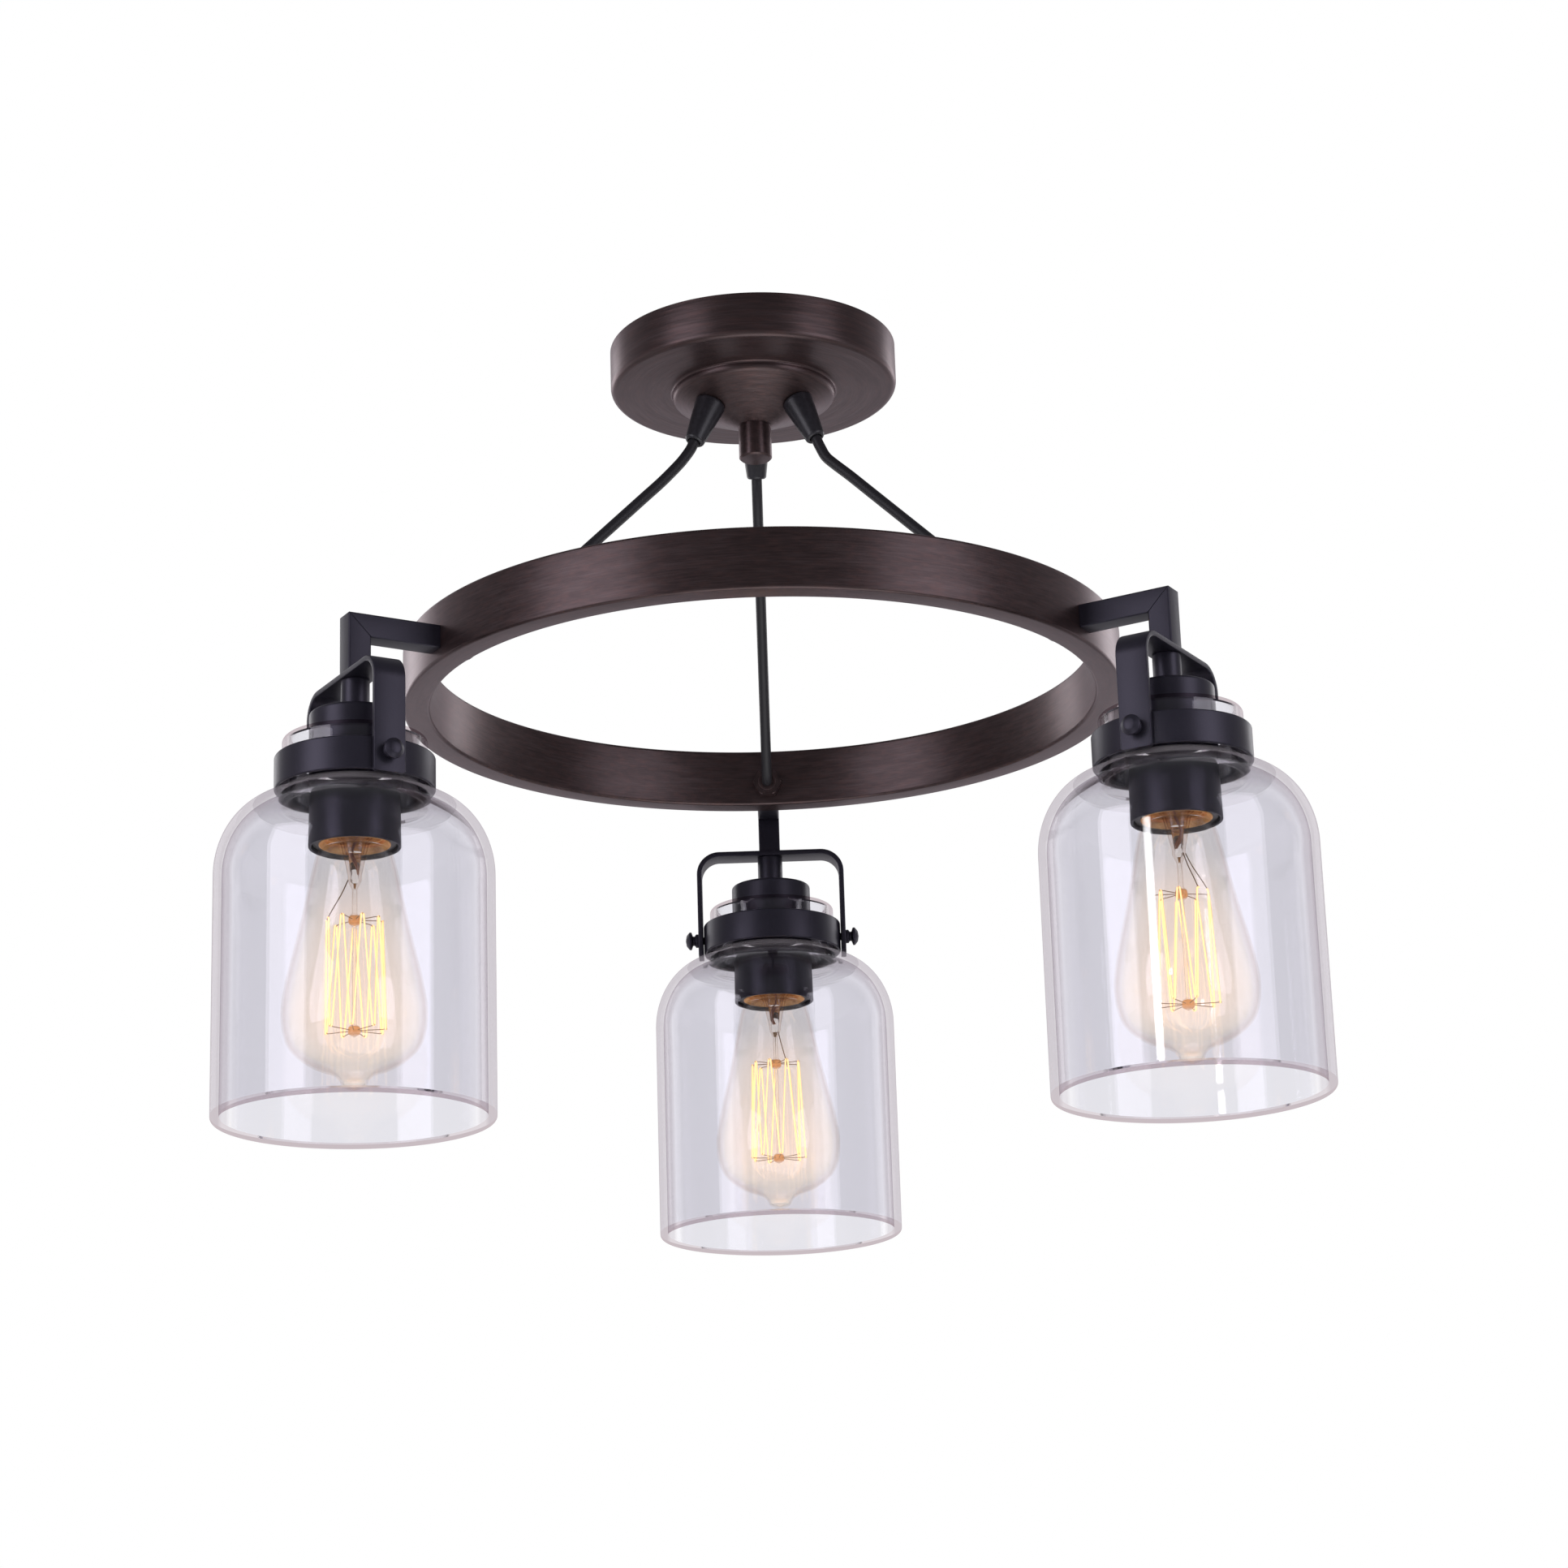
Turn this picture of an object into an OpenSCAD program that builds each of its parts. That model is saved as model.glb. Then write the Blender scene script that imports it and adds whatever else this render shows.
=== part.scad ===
// Semi-flush ceiling light: a canopy, three slanted cords, a hanging ring and three glass lights.
// Millimetres, +Z up. The origin is the centre of the canopy's open rim, on the ceiling plane.
// Light 1 stands at +Y, and lights 2 and 3 follow at 120 degrees each, anticlockwise from above.

/* [Canopy] */
// Outside diameter of the canopy pan
canopy_d = 140; // [130:1:160]
// Height of the pan, from the ceiling to its flat underside
canopy_h = 22; // [20:0.5:28]
// Thickness of the canopy's spun steel
canopy_wall = 1.2; // [0.8:0.1:2]
// Outside radius of the pan's lower edge
canopy_edge_r = 3; // [2.5:0.1:5]
// Diameter of the boss under the pan
boss_d = 80; // [76:1:90]
// Radius of the hollow corner at the foot of the boss
boss_foot_r = 1.3; // [0.8:0.1:3]
// Radius of the boss's outer edge
boss_edge_r = 3.5; // [2.5:0.1:5]
// Slope of the boss's shallow cone, in degrees
boss_slope = 24; // [20:1:28]

/* [Ceiling fixings] */
// Length of the mounting bar
bar_length = 106; // [96:1:116]
// Width of the mounting bar
bar_width = 20; // [16:1:26]
// Thickness of the mounting bar
bar_thickness = 2; // [1.5:0.1:3]
// Distance between the centres of the bar's two slots
slot_spacing = 79.4; // [76:0.1:82]
// Length of a slot, end to end
slot_length = 15; // [12:0.5:18]
// Width of a slot
slot_width = 4.8; // [4.2:0.1:5.5]
// Diameter of the threaded stud in the middle
stud_d = 8; // [6:0.5:9]
// How far the stud reaches into the finial
stud_engagement = 12; // [8:0.5:14]
// Width across the flats of the stud's locknut
stud_nut_af = 13; // [12:0.5:16]
// Height of the stud's locknut
stud_nut_h = 6; // [4:0.5:8]
// Distance from the centre to the ground screw
ground_screw_x = 20; // [18:0.5:24]
// Diameter of the ground screw's thread
ground_screw_d = 4; // [3:0.5:5]
// Width across the flats of the ground screw's head
ground_head_af = 8; // [7:0.5:9]
// Height of the ground screw's head
ground_head_h = 3; // [2:0.5:4]

/* [Finial] */
// Diameter of the finial
finial_d = 16; // [14:0.5:20]
// Length of the finial
finial_length = 17.3; // [15:0.1:24]
// Chamfer at the finial's lower edge
finial_chamfer = 0.8; // [0.3:0.1:1.5]

/* [Cord grips] */
// Distance from the axis to the middle of a grip's foot
grip_reach = 24.5; // [22:0.5:27]
// Diameter of a grip's foot
grip_foot_d = 15; // [13:0.5:17]
// Diameter of a grip's tip
grip_tip_d = 9.4; // [8.5:0.1:11]
// Length of a grip below the canopy
grip_length = 23.6; // [20:0.1:26]
// Height of the straight band at a grip's foot
grip_foot_h = 1.2; // [0.6:0.1:2]
// Diameter of a grip's threaded shank
grip_shank_d = 9.8; // [9:0.1:11]
// Length of the threaded shank above the foot
grip_shank_length = 9; // [8:0.5:10]
// Width across the flats of a grip's locknut
grip_nut_af = 13; // [12:0.5:14]
// Height of a grip's locknut
grip_nut_h = 3.2; // [2.5:0.1:4]
// Bore of a grip
grip_bore_d = 6; // [5.8:0.1:6.6]

/* [Cords] */
// Diameter of a cord
cord_d = 5.2; // [4.6:0.1:5.6]
// Diameter of an insulated conductor
conductor_d = 2.2; // [1.8:0.1:2.4]
// Mouth diameter of a wire connector
connector_d = 13; // [12:0.5:14]
// Length of a wire connector
connector_length = 21; // [18:0.5:24]

/* [Ring] */
// Outside diameter of the ring
ring_d = 343; // [330:1:360]
// Radial thickness of the ring's rectangular tube
ring_thickness = 12.7; // [11:0.1:15]
// Height of the ring
ring_height = 29; // [26:0.5:34]
// How far the ring's top edge stands above the arms' centre line
ring_rise = 18; // [16:0.5:20]
// Wall of the ring's tube
ring_wall = 1.5; // [1:0.1:2.5]
// Radius of the ring's long edges
ring_edge_r = 1.5; // [0.8:0.1:2]

/* [Arms] */
// Distance from the ceiling down to the arms' centre line
arm_drop = 175; // [174:0.5:176]
// Distance from the axis to the lights' centre line
arm_reach = 211; // [205:1:220]
// Side of the arms' square tube
arm_side = 11; // [10.6:0.1:13]
// Wall of the arms' square tube
arm_wall = 1; // [0.8:0.1:1.1]
// Radius of the tube's long edges
arm_edge_r = 0.8; // [0.4:0.1:1.2]
// Length of an arm's leg below the arm's centre line
leg_length = 23; // [18:0.5:30]
// Length of the threaded plug in each end of an arm
plug_length = 8; // [6:0.5:9]
// Diameter of the hollow thread that holds an arm and a light
hollow_thread_d = 7; // [6.4:0.1:7.4]
// Bore of the hollow thread
hollow_bore_d = 4.6; // [4.2:0.1:5]
// Width across the flats of the hollow bolt's head
bolt_head_af = 13.2; // [12:0.1:15]
// Height of the hollow bolt's head
bolt_head_h = 5; // [4.5:0.1:7]
// Diameter of the cord's seat in the bolt's head
cord_seat_d = 6.9; // [6.4:0.1:7.4]
// Depth of the cord's seat in the bolt's head
cord_seat_depth = 4.2; // [3.8:0.1:4.4]
// Diameter of the sheathed lead in an arm
lead_d = 3.6; // [3:0.1:3.8]
// Radius of the lead's bend at the arm's corner
lead_bend_r = 4.5; // [4:0.1:6]

/* [Bails] */
// Width of a bail's strap
bail_width = 15; // [12:0.5:17]
// Thickness of a bail's strap
bail_thickness = 2.5; // [2:0.1:3]
// Outside radius of a bail's upper corners
bail_corner_r = 12; // [8:0.5:16]
// Height of a bail, from its top face to the ends of its legs
bail_height = 56; // [52:0.5:60]
// Radius of the corners at the ends of a bail's legs
bail_end_r = 1.5; // [0.5:0.1:3]
// Distance from a bail's top face down to its thumbscrews
thumbscrew_drop = 46.5; // [44:0.5:48]

/* [Socket cups] */
// Diameter of the round coupling over a cup
coupling_d = 13; // [12:0.5:16]
// Length of the coupling
coupling_length = 15.7; // [12:0.1:18]
// Width across the flats of the locknut in a cup
cup_nut_af = 11; // [10:0.5:14]
// Height of the locknut in a cup
cup_nut_h = 3; // [2:0.5:4]
// Outside diameter of a socket cup
cup_d = 41.2; // [40.6:0.2:43]
// Height of a socket cup
cup_height = 62.8; // [62:0.2:66]
// Wall of a socket cup
cup_wall = 1.4; // [1:0.1:1.6]
// Radius of a cup's upper edge
cup_edge_r = 1.6; // [1.6:0.1:3]

/* [Neck bands] */
// Outside diameter of a band
band_d = 72; // [71:0.5:76]
// Height of a band
band_height = 15.3; // [12:0.1:18]
// Thickness of a band
band_thickness = 1.3; // [1:0.1:1.6]
// Distance from a bail's top face down to the band's upper edge
band_drop = 39.2; // [38:0.1:40]
// Diameter of a thumbscrew's thread
thumbscrew_d = 4; // [3:0.5:5]
// Diameter of a thumbscrew's head
thumb_head_d = 9.4; // [8:0.1:12]
// Height of a thumbscrew's head and collar outside the strap
thumb_height = 6.8; // [6:0.1:9]

/* [Glass shades] */
// Outside diameter of a shade's body
shade_d = 124.5; // [116:0.5:130]
// Outside diameter of a shade's neck
shade_neck_d = 65; // [63:0.5:66]
// Thickness of the glass
shade_wall = 3.9; // [3:0.1:4.5]
// Distance from a bail's top face down to the rim of the glass neck
shade_drop = 30.4; // [28:0.2:34]
// Distance from a bail's top face down to the shoulder
shoulder_drop = 58; // [57:0.2:59]
// Radius of the hollow corner between neck and shoulder
shade_fillet_r = 3; // [2:0.2:4]
// Height of the rounded shoulder
shade_shoulder_h = 36; // [30:1:42]
// Height of a shade, from the rim of its neck to its open mouth
shade_height = 173.9; // [170:0.1:184]

/* [Lampholders] */
// Wall of the lampholder's body round the screw shell
holder_wall = 4.4; // [3.8:0.1:4.4]
// Depth of the lampholder's face inside the cup's mouth
holder_recess = 1.5; // [1.3:0.1:2]
// Thickness of the brass screw shell
shell_wall = 0.4; // [0.3:0.05:0.5]
// Width of the screw shell's flared lip
shell_lip = 1.6; // [1:0.1:2]
// Diameter of the centre contact
contact_d = 6; // [4:0.5:8]
// Thickness of the centre contact
contact_thickness = 0.8; // [0.5:0.1:1.2]

/* [Bulbs] */
// Greatest diameter of the glass bulb
bulb_d = 64; // [60:0.5:70]
// Diameter over the crests of the bulb's screw cap
cap_d = 26.2; // [26:0.1:26.4]
// Height of a thread's wave on the cap and in the shell, crest to root
thread_depth = 0.6; // [0.3:0.1:0.8]
// Distance between two turns of the thread
thread_pitch = 3.63; // [3.4:0.01:3.8]
// Length of the screw cap
cap_length = 26; // [25:0.1:27]
// Length of the glass below the cap's edge
bulb_length = 114.3; // [110:0.1:120]
// Distance from the cap's edge down to the press of the glass stem
press_drop = 20; // [18:0.5:24]
// Distance from the cap's edge down to the upper hooks
cage_drop = 38; // [34:0.5:42]
// Thickness of the bulb's glass
bulb_wall = 0.8; // [0.5:0.1:1.2]
// Diameter of the filament wire
filament_d = 0.5; // [0.4:0.05:0.7]
// Number of lower hooks that the filament runs under
filament_hooks = 8; // [6:1:10]
// Radius of the cage at the upper hooks
cage_top_r = 12.5; // [10:0.5:14]
// Radius of the cage at the lower hooks
cage_foot_r = 14; // [12:0.5:16]
// Length of the cage
cage_length = 50; // [45:1:54]

/* [Hidden] */
$fn = 72;

// Clearances between pieces
thread_fit = 0.05; // radial play of a screwed or turning fit
free_fit = 0.2; // radial play of a part that passes through a hole
seat_gap = 0.3; // gap between curved faces that bear on each other
cut = 1; // how far a cutting tool passes a face

// Colours
bronze = [0.24, 0.17, 0.16];
satin_black = [0.13, 0.13, 0.15];
glass_tint = [0.85, 0.85, 0.90, 0.35];
warm_glass = [0.95, 0.88, 0.76, 0.35];
brass = [0.78, 0.58, 0.28];
zinc = [0.70, 0.71, 0.73];
rubber_black = [0.08, 0.08, 0.08];

// Canopy sections
canopy_r = canopy_d / 2;
boss_r = boss_d / 2;
boss_edge_z = -canopy_h - boss_foot_r - 0.2;
cone_start_r = boss_r - boss_edge_r + boss_edge_r * sin(boss_slope);
cone_start_z = boss_edge_z - boss_edge_r * cos(boss_slope);
seat_r = finial_d / 2;
seat_z = cone_z(seat_r);
stud_r = stud_d / 2;
stud_end_z = seat_z - stud_engagement;

// Grips stand square to the boss's cone
grip_foot_z = cone_z(grip_reach);
grip_shank_r = grip_shank_d / 2;
nut_sag = pow(grip_nut_af / sqrt(3), 2) * sin(boss_slope) / (2 * grip_reach) + 0.05;

// Ring and arm sections
ring_r = ring_d / 2;
ring_in_r = ring_r - ring_thickness;
ring_top_z = ring_rise - arm_drop;
ring_foot_z = ring_top_z - ring_height;
bolt_r = hollow_thread_d / 2;
bolt_sag = pow(bolt_head_af / sqrt(3), 2) / (2 * ring_in_r) + 0.02;
bolt_face_r = ring_in_r - bolt_sag;
bolt_end_r = ring_r + plug_length;
plug_side = arm_side - 2 * arm_wall - 2 * thread_fit;
leg_z = -arm_drop - leg_length;

// Heights down a light's own axis
bail_top_z = leg_z;
coupling_top_z = bail_top_z - bail_thickness;
cup_top_z = coupling_top_z - coupling_length;
cup_bottom_z = cup_top_z - cup_height;
cup_nut_z = cup_top_z - cup_wall - cup_nut_h;
nipple_end_z = cup_nut_z - 1;
holder_top_z = cup_nut_z;
holder_bottom_z = cup_bottom_z + holder_recess;
thumbscrew_z = bail_top_z - thumbscrew_drop;
band_r = band_d / 2;
bail_in_r = band_r + seat_gap;
bail_out_r = bail_in_r + bail_thickness;
neck_r = shade_neck_d / 2;

// Screw shell and cap: the threads are rings, and the bulb clears the shell by the seat gap
cap_edge_z = holder_bottom_z + 3.2;
cap_top_z = cap_edge_z + cap_length;
cap_crest_r = cap_d / 2;
cap_mid_r = cap_crest_r - thread_depth / 2;
shell_mid_r = cap_crest_r + seat_gap + thread_depth / 2;
shell_bore_r = shell_mid_r + thread_depth / 2 + shell_wall + thread_fit;
contact_top_z = cap_top_z + contact_thickness + seat_gap;
holder_r = shell_bore_r + holder_wall;
cup_in_r = cup_d / 2 - cup_wall;

// Shade: the thumbscrews hold it by its neck
shade_top_z = bail_top_z - shade_drop;
shoulder_z = bail_top_z - shoulder_drop;
shade_foot_z = shade_top_z - shade_height;
fillet_x = neck_r + shade_fillet_r;
fillet_z = shoulder_z + shade_fillet_r;

// Bulb parts
bulb_tip_z = cap_edge_z - bulb_length;
bulb_neck_r = cap_crest_r - 1.4;
stem_r = 5;
press_r = 3;
press_z = cap_edge_z - press_drop;
button_r = 2.6;
hook_wire_d = 0.4;
cage_turn = 330; // angle that the filament's hooks cover, round the stem
cage_top_z = cap_edge_z - cage_drop;
cage_foot_z = cage_top_z - cage_length;

// Routes of the cords in each arm's own plane: distance from the axis, sideways, height
cord_span = [
    [52, 0, -77.5], [62, 0, -87.5], [72, 0, -97.5], [82, 0, -107.5], [92, 0, -117.5],
    [102, 0, -127.5], [112, 0, -137.5], [122, 0, -147.5], [132, 0, -157.5],
    [140, 0, -165.5], [144.5, 0, -169.8], [149, 0, -173.1], [153.5, 0, -174.9], [157.4, 0, -175]
];
cord_heads = [
    [[19.4, 0, -21.2], [24.5, 0, -32.7], [29.4, 0, -43.7], [34.1, 0, -54.2],
        [36.2, 0, -58.9], [39.2, 0, -63.5], [43.5, 0, -68.6]],
    [[19.4, 0, -21.2], [24.5, 0, -32.7], [29.4, 0, -43.7], [34.1, 0, -54.2],
        [35.9, 0, -57.9], [38.6, 0, -62.0], [43, 0, -67.6]],
    [[19.4, 0, -21.2], [24.5, 0, -32.7], [29.4, 0, -43.7], [34.1, 0, -54.2],
        [36.5, 0, -59.6], [39.2, 0, -64.8], [43.7, 0, -69.6]]
];

// Routes of the conductors in the canopy, from the cords' ends to the two connectors: two are
// mirrored to the left, and two more cross over to the far side
mirrored_routes = [
    [[1.25, 19.24, -20.83], [1.3, 18, -18.1], [2.4, 17.6, -15.9], [6, 18, -14], [14, 18, -13],
        [26, 17.5, -13], [36.4, 22.9, -14.2], [47, 28.6, -14.7]],
    [[17.29, -8.54, -20.83], [16.23, -7.93, -18.1], [17.3, -6, -15.6], [20.5, -1.5, -13.8],
        [25, 5, -13.5], [31, 12.5, -13.5], [38, 20.1, -14.2], [48.2, 26.4, -14.7]]
];
crossing_routes = [
    [[-16.04, -10.7, -20.83], [-14.98, -10.09, -18.1], [-11.5, -11, -14.8], [2, -12, -12.5],
        [17, -1, -10.5], [28, 11, -10.3], [37.2, 21.5, -11.9], [47.6, 27.5, -12.5]],
    [[16.04, -10.7, -20.83], [14.98, -10.09, -18.1], [11.5, -9.6, -16.2], [0, -8.8, -16],
        [-14, -2, -11.5], [-28, 11, -10.3], [-37.2, 21.5, -11.9], [-47.6, 27.5, -12.5]]
];

// Geometry helpers
function angle_of(n) = 90 + 120 * (n - 1);
function arc(cx, cy, r, a0, a1, steps = 6) = [
    for (i = [0:steps]) let (a = a0 + (a1 - a0) * i / steps) [cx + r * cos(a), cy + r * sin(a)]
];
function reversed(list) = [for (i = [len(list) - 1:-1:0]) list[i]];
function unit(v) = v / norm(v);
function cone_z(r) = cone_start_z - (cone_start_r - r) * tan(boss_slope);

// A curve through the given points, with the given number of steps between two of them
function spline_at(a, b, c, d, t) =
    0.5 * (2 * b + (c - a) * t + (2 * a - 5 * b + 4 * c - d) * t * t
        + (3 * b - a - 3 * c + d) * t * t * t);
function spline(p, steps) = concat(
    [for (i = [0:len(p) - 2]) for (k = [0:steps - 1])
        spline_at(p[max(i - 1, 0)], p[i], p[i + 1], p[min(i + 2, len(p) - 1)], k / steps)],
    [p[len(p) - 1]]
);

// A tube that follows points in space: rings square to the path, and flat ends
function tangent(p, i) = unit(p[min(i + 1, len(p) - 1)] - p[max(i - 1, 0)]);
function carried(n, t) = unit(n - (n * t) * t);
function side_start(t) = carried(abs(t.z) > 0.9 ? [1, 0, 0] : [0, 0, 1], t);
function sides_along(p, i = 0, n = undef) =
    i == len(p) ? [] :
    let (m = i == 0 ? side_start(tangent(p, 0)) : carried(n, tangent(p, i)))
    concat([m], sides_along(p, i + 1, m));
module tube(p, r, sides) {
    across = sides_along(p);
    rings = [for (i = [0:len(p) - 1]) for (k = [0:sides - 1])
        p[i] + r * (cos(360 * k / sides) * across[i]
            + sin(360 * k / sides) * cross(tangent(p, i), across[i]))];
    walls = [for (i = [0:len(p) - 2]) for (k = [0:sides - 1])
        let (a = i * sides + k, b = i * sides + (k + 1) % sides)
        each [[a, a + sides, b], [b, a + sides, b + sides]]];
    first = [for (k = [0:sides - 1]) k];
    last = [for (k = [sides - 1:-1:0]) (len(p) - 1) * sides + k];
    polyhedron(rings, concat([first], walls, [last]));
}

// Placing: an arm's own plane, a light's own axis, and the boss's sloping face
module at_arm(n) {
    rotate([0, 0, angle_of(n)]) children();
}
module at_light(n) {
    at_arm(n) translate([arm_reach, 0, 0]) children();
}
module on_boss(n) {
    at_arm(n) translate([grip_reach, 0, grip_foot_z]) rotate([0, 180 - boss_slope, 0]) children();
}

module hex(af, h) {
    cylinder(h = h, r = af / sqrt(3), $fn = 6);
}
module hex_nut(af, h, bore_r) {
    difference() {
        hex(af, h);
        translate([0, 0, -cut]) cylinder(h = h + 2 * cut, r = bore_r);
    }
}
module hollow_rod(r, bore_r, z0, z1) {
    difference() {
        translate([0, 0, z0]) cylinder(h = z1 - z0, r = r);
        translate([0, 0, z0 - cut]) cylinder(h = z1 - z0 + 2 * cut, r = bore_r);
    }
}
module stadium(length, width, h) {
    translate([-(length - width) / 2, -width / 2, 0]) cube([length - width, width, h]);
    for (side = [-1, 1]) {
        translate([side * (length - width) / 2, 0, 0]) cylinder(h = h, d = width);
    }
}

// Canopy: a spun pan with a stepped, shallow cone in the middle of its underside
function canopy_outline(d) =
    let (land_r = seat_r - d * (1 / cos(boss_slope) - 1) / tan(boss_slope))
    concat(
        [[canopy_r - d, 0]],
        arc(canopy_r - canopy_edge_r, -canopy_h + canopy_edge_r, canopy_edge_r - d, 0, -90),
        arc(boss_r + boss_foot_r, -canopy_h - boss_foot_r, boss_foot_r + d, 90, 180),
        arc(boss_r - boss_edge_r, boss_edge_z, boss_edge_r - d, 0, boss_slope - 90),
        [[land_r, seat_z + d], [stud_r + free_fit, seat_z + d]]
    );
module canopy() {
    color(bronze) difference() {
        rotate_extrude() polygon(concat(canopy_outline(0), reversed(canopy_outline(canopy_wall))));
        for (n = [1:3]) {
            on_boss(n) translate([0, 0, -4 * canopy_wall])
                cylinder(h = 5 * canopy_wall, r = grip_shank_r + free_fit);
        }
    }
}

// Ceiling fixings: a slotted steel bar, the stud with its locknut, and the ground screw
module mounting_bar() {
    color(zinc) translate([0, 0, -bar_thickness]) difference() {
        stadium(bar_length, bar_width, bar_thickness);
        for (side = [-1, 1]) {
            translate([side * slot_spacing / 2, 0, -cut])
                stadium(slot_length, slot_width, bar_thickness + 2 * cut);
        }
        translate([0, 0, -cut]) cylinder(h = bar_thickness + 2 * cut, r = stud_r + thread_fit);
        translate([ground_screw_x, 0, -cut])
            cylinder(h = bar_thickness + 2 * cut, d = ground_screw_d + 2 * thread_fit);
    }
}
module center_stud() {
    color(zinc) translate([0, 0, stud_end_z]) cylinder(h = -stud_end_z, r = stud_r);
}
module stud_locknut() {
    color(zinc) translate([0, 0, -bar_thickness - stud_nut_h])
        hex_nut(stud_nut_af, stud_nut_h, stud_r + thread_fit);
}
module ground_screw() {
    color([0.15, 0.45, 0.22]) translate([ground_screw_x, 0, -bar_thickness]) {
        cylinder(h = bar_thickness, d = ground_screw_d);
        translate([0, 0, -ground_head_h]) hex(ground_head_af, ground_head_h);
    }
}

// Finial: the cap nut on the stud that presses the canopy to the ceiling
module finial() {
    color(bronze) translate([0, 0, seat_z]) rotate_extrude() polygon([
        [stud_r + thread_fit, 0], [finial_d / 2, 0],
        [finial_d / 2, finial_chamfer - finial_length],
        [finial_d / 2 - finial_chamfer, -finial_length], [0, -finial_length],
        [0, -stud_engagement - 1], [stud_r + thread_fit, -stud_engagement - 1]
    ]);
}

// Cord grips: black cones with a threaded shank through the canopy and a locknut inside it
module cord_grips() {
    tip_r = grip_tip_d / 2;
    color(rubber_black) for (n = [1:3]) {
        on_boss(n) rotate_extrude() polygon([
            [grip_bore_d / 2, -grip_shank_length], [grip_shank_r, -grip_shank_length],
            [grip_shank_r, 0], [grip_foot_d / 2, 0], [grip_foot_d / 2, grip_foot_h],
            [tip_r + 0.2, grip_length - 1.8], [tip_r, grip_length - 0.7],
            [tip_r - 0.7, grip_length], [grip_bore_d / 2, grip_length]
        ]);
    }
}
module grip_locknuts() {
    color(zinc) for (n = [1:3]) {
        on_boss(n) translate([0, 0, -canopy_wall - nut_sag - grip_nut_h])
            hex_nut(grip_nut_af, grip_nut_h, grip_shank_r + thread_fit);
    }
}

// Cords: they carry the ring and its current, from the grips to the hollow bolts
module cord(n) {
    color(rubber_black) at_arm(n) tube(concat(cord_heads[n - 1], cord_span), cord_d / 2, 10);
}

// Splices in the canopy: two screw-on connectors that lie on the pan, and six conductors
module wire_connectors() {
    mouth_r = connector_d / 2;
    lie_z = -canopy_h + canopy_wall + mouth_r + seat_gap;
    color([0.85, 0.62, 0.15]) for (a = [30, 150]) {
        rotate([0, 0, a]) translate([boss_r + 1, 0, lie_z]) rotate([0, 90, 0]) rotate_extrude()
            polygon([
                [mouth_r - 1, 0], [mouth_r, 0], [mouth_r, 4], [mouth_r - 2, connector_length - 1],
                [mouth_r - 3, connector_length], [0, connector_length],
                [0, connector_length - 2], [1.5, connector_length - 2], [mouth_r - 1, 6]
            ]);
    }
}
module splice_wire(route) {
    tube(spline(route, 3), conductor_d / 2, 6);
}
module splice_wires() {
    white = [0.9, 0.9, 0.88];
    for (route = mirrored_routes) {
        color(rubber_black) splice_wire(route);
        color(white) mirror([1, 0, 0]) splice_wire(route);
    }
    color(rubber_black) splice_wire(crossing_routes[0]);
    color(white) splice_wire(crossing_routes[1]);
}

// Ring: a rolled rectangular tube, drilled through both walls at each arm
module ring() {
    r0 = ring_in_r + ring_edge_r;
    r1 = ring_r - ring_edge_r;
    z0 = ring_foot_z + ring_edge_r;
    z1 = ring_top_z - ring_edge_r;
    color(bronze) difference() {
        rotate_extrude($fn = 120) polygon(concat(
            arc(r0, z0, ring_edge_r, 180, 270, 4), arc(r1, z0, ring_edge_r, 270, 360, 4),
            arc(r1, z1, ring_edge_r, 0, 90, 4), arc(r0, z1, ring_edge_r, 90, 180, 4)));
        rotate_extrude($fn = 120) translate([ring_in_r + ring_wall, ring_foot_z + ring_wall])
            square([ring_thickness - 2 * ring_wall, ring_height - 2 * ring_wall]);
        for (n = [1:3]) {
            at_arm(n) translate([ring_in_r - 2 * cut, 0, -arm_drop]) rotate([0, 90, 0])
                cylinder(h = ring_thickness + 4 * cut, r = bolt_r + free_fit);
        }
    }
}

// Hollow bolts: a hexagonal head that seats the cord, and a shank through the ring to the arm
module hollow_bolts() {
    head_r = bolt_head_af / sqrt(3);
    length = bolt_end_r - bolt_face_r;
    color(bronze) for (n = [1:3]) {
        at_arm(n) translate([bolt_face_r, 0, -arm_drop]) rotate([0, 90, 0]) difference() {
            union() {
                translate([0, 0, -bolt_head_h]) intersection() {
                    hex(bolt_head_af, bolt_head_h);
                    rotate_extrude() polygon([
                        [0, 0], [bolt_head_af / 2 - 0.2, 0], [head_r + 0.1, 0.8],
                        [head_r + 0.1, bolt_head_h], [0, bolt_head_h]
                    ]);
                }
                cylinder(h = length, r = bolt_r);
            }
            translate([0, 0, -bolt_head_h - cut])
                cylinder(h = bolt_head_h + length + 2 * cut, d = hollow_bore_d);
            translate([0, 0, -bolt_head_h - cut])
                cylinder(h = cord_seat_depth + cut, d = cord_seat_d);
        }
    }
}

// Arms: square tube, mitred and welded at the corner, open at both ends
function round_square(side, r) =
    let (c = side / 2 - r)
    concat(arc(c, c, r, 0, 90, 3), arc(-c, c, r, 90, 180, 3),
        arc(-c, -c, r, 180, 270, 3), arc(c, -c, r, 270, 360, 3));
module elbow(side, edge_r, over) {
    reach = side / 2;
    section = round_square(side, edge_r);
    bar = arm_reach - ring_r;
    translate([0, 0, -arm_drop]) {
        difference() {
            translate([-bar - over, 0, 0]) rotate([0, 90, 0])
                linear_extrude(height = bar + over + reach) polygon(section);
            rotate([0, -45, 0]) translate([-3 * side, -side, -3 * side])
                cube([6 * side, 2 * side, 3 * side]);
        }
        difference() {
            translate([0, 0, -leg_length - over])
                linear_extrude(height = leg_length + over + reach) polygon(section);
            rotate([0, -45, 0]) translate([-3 * side, -side, 0])
                cube([6 * side, 2 * side, 3 * side]);
        }
    }
}
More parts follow.
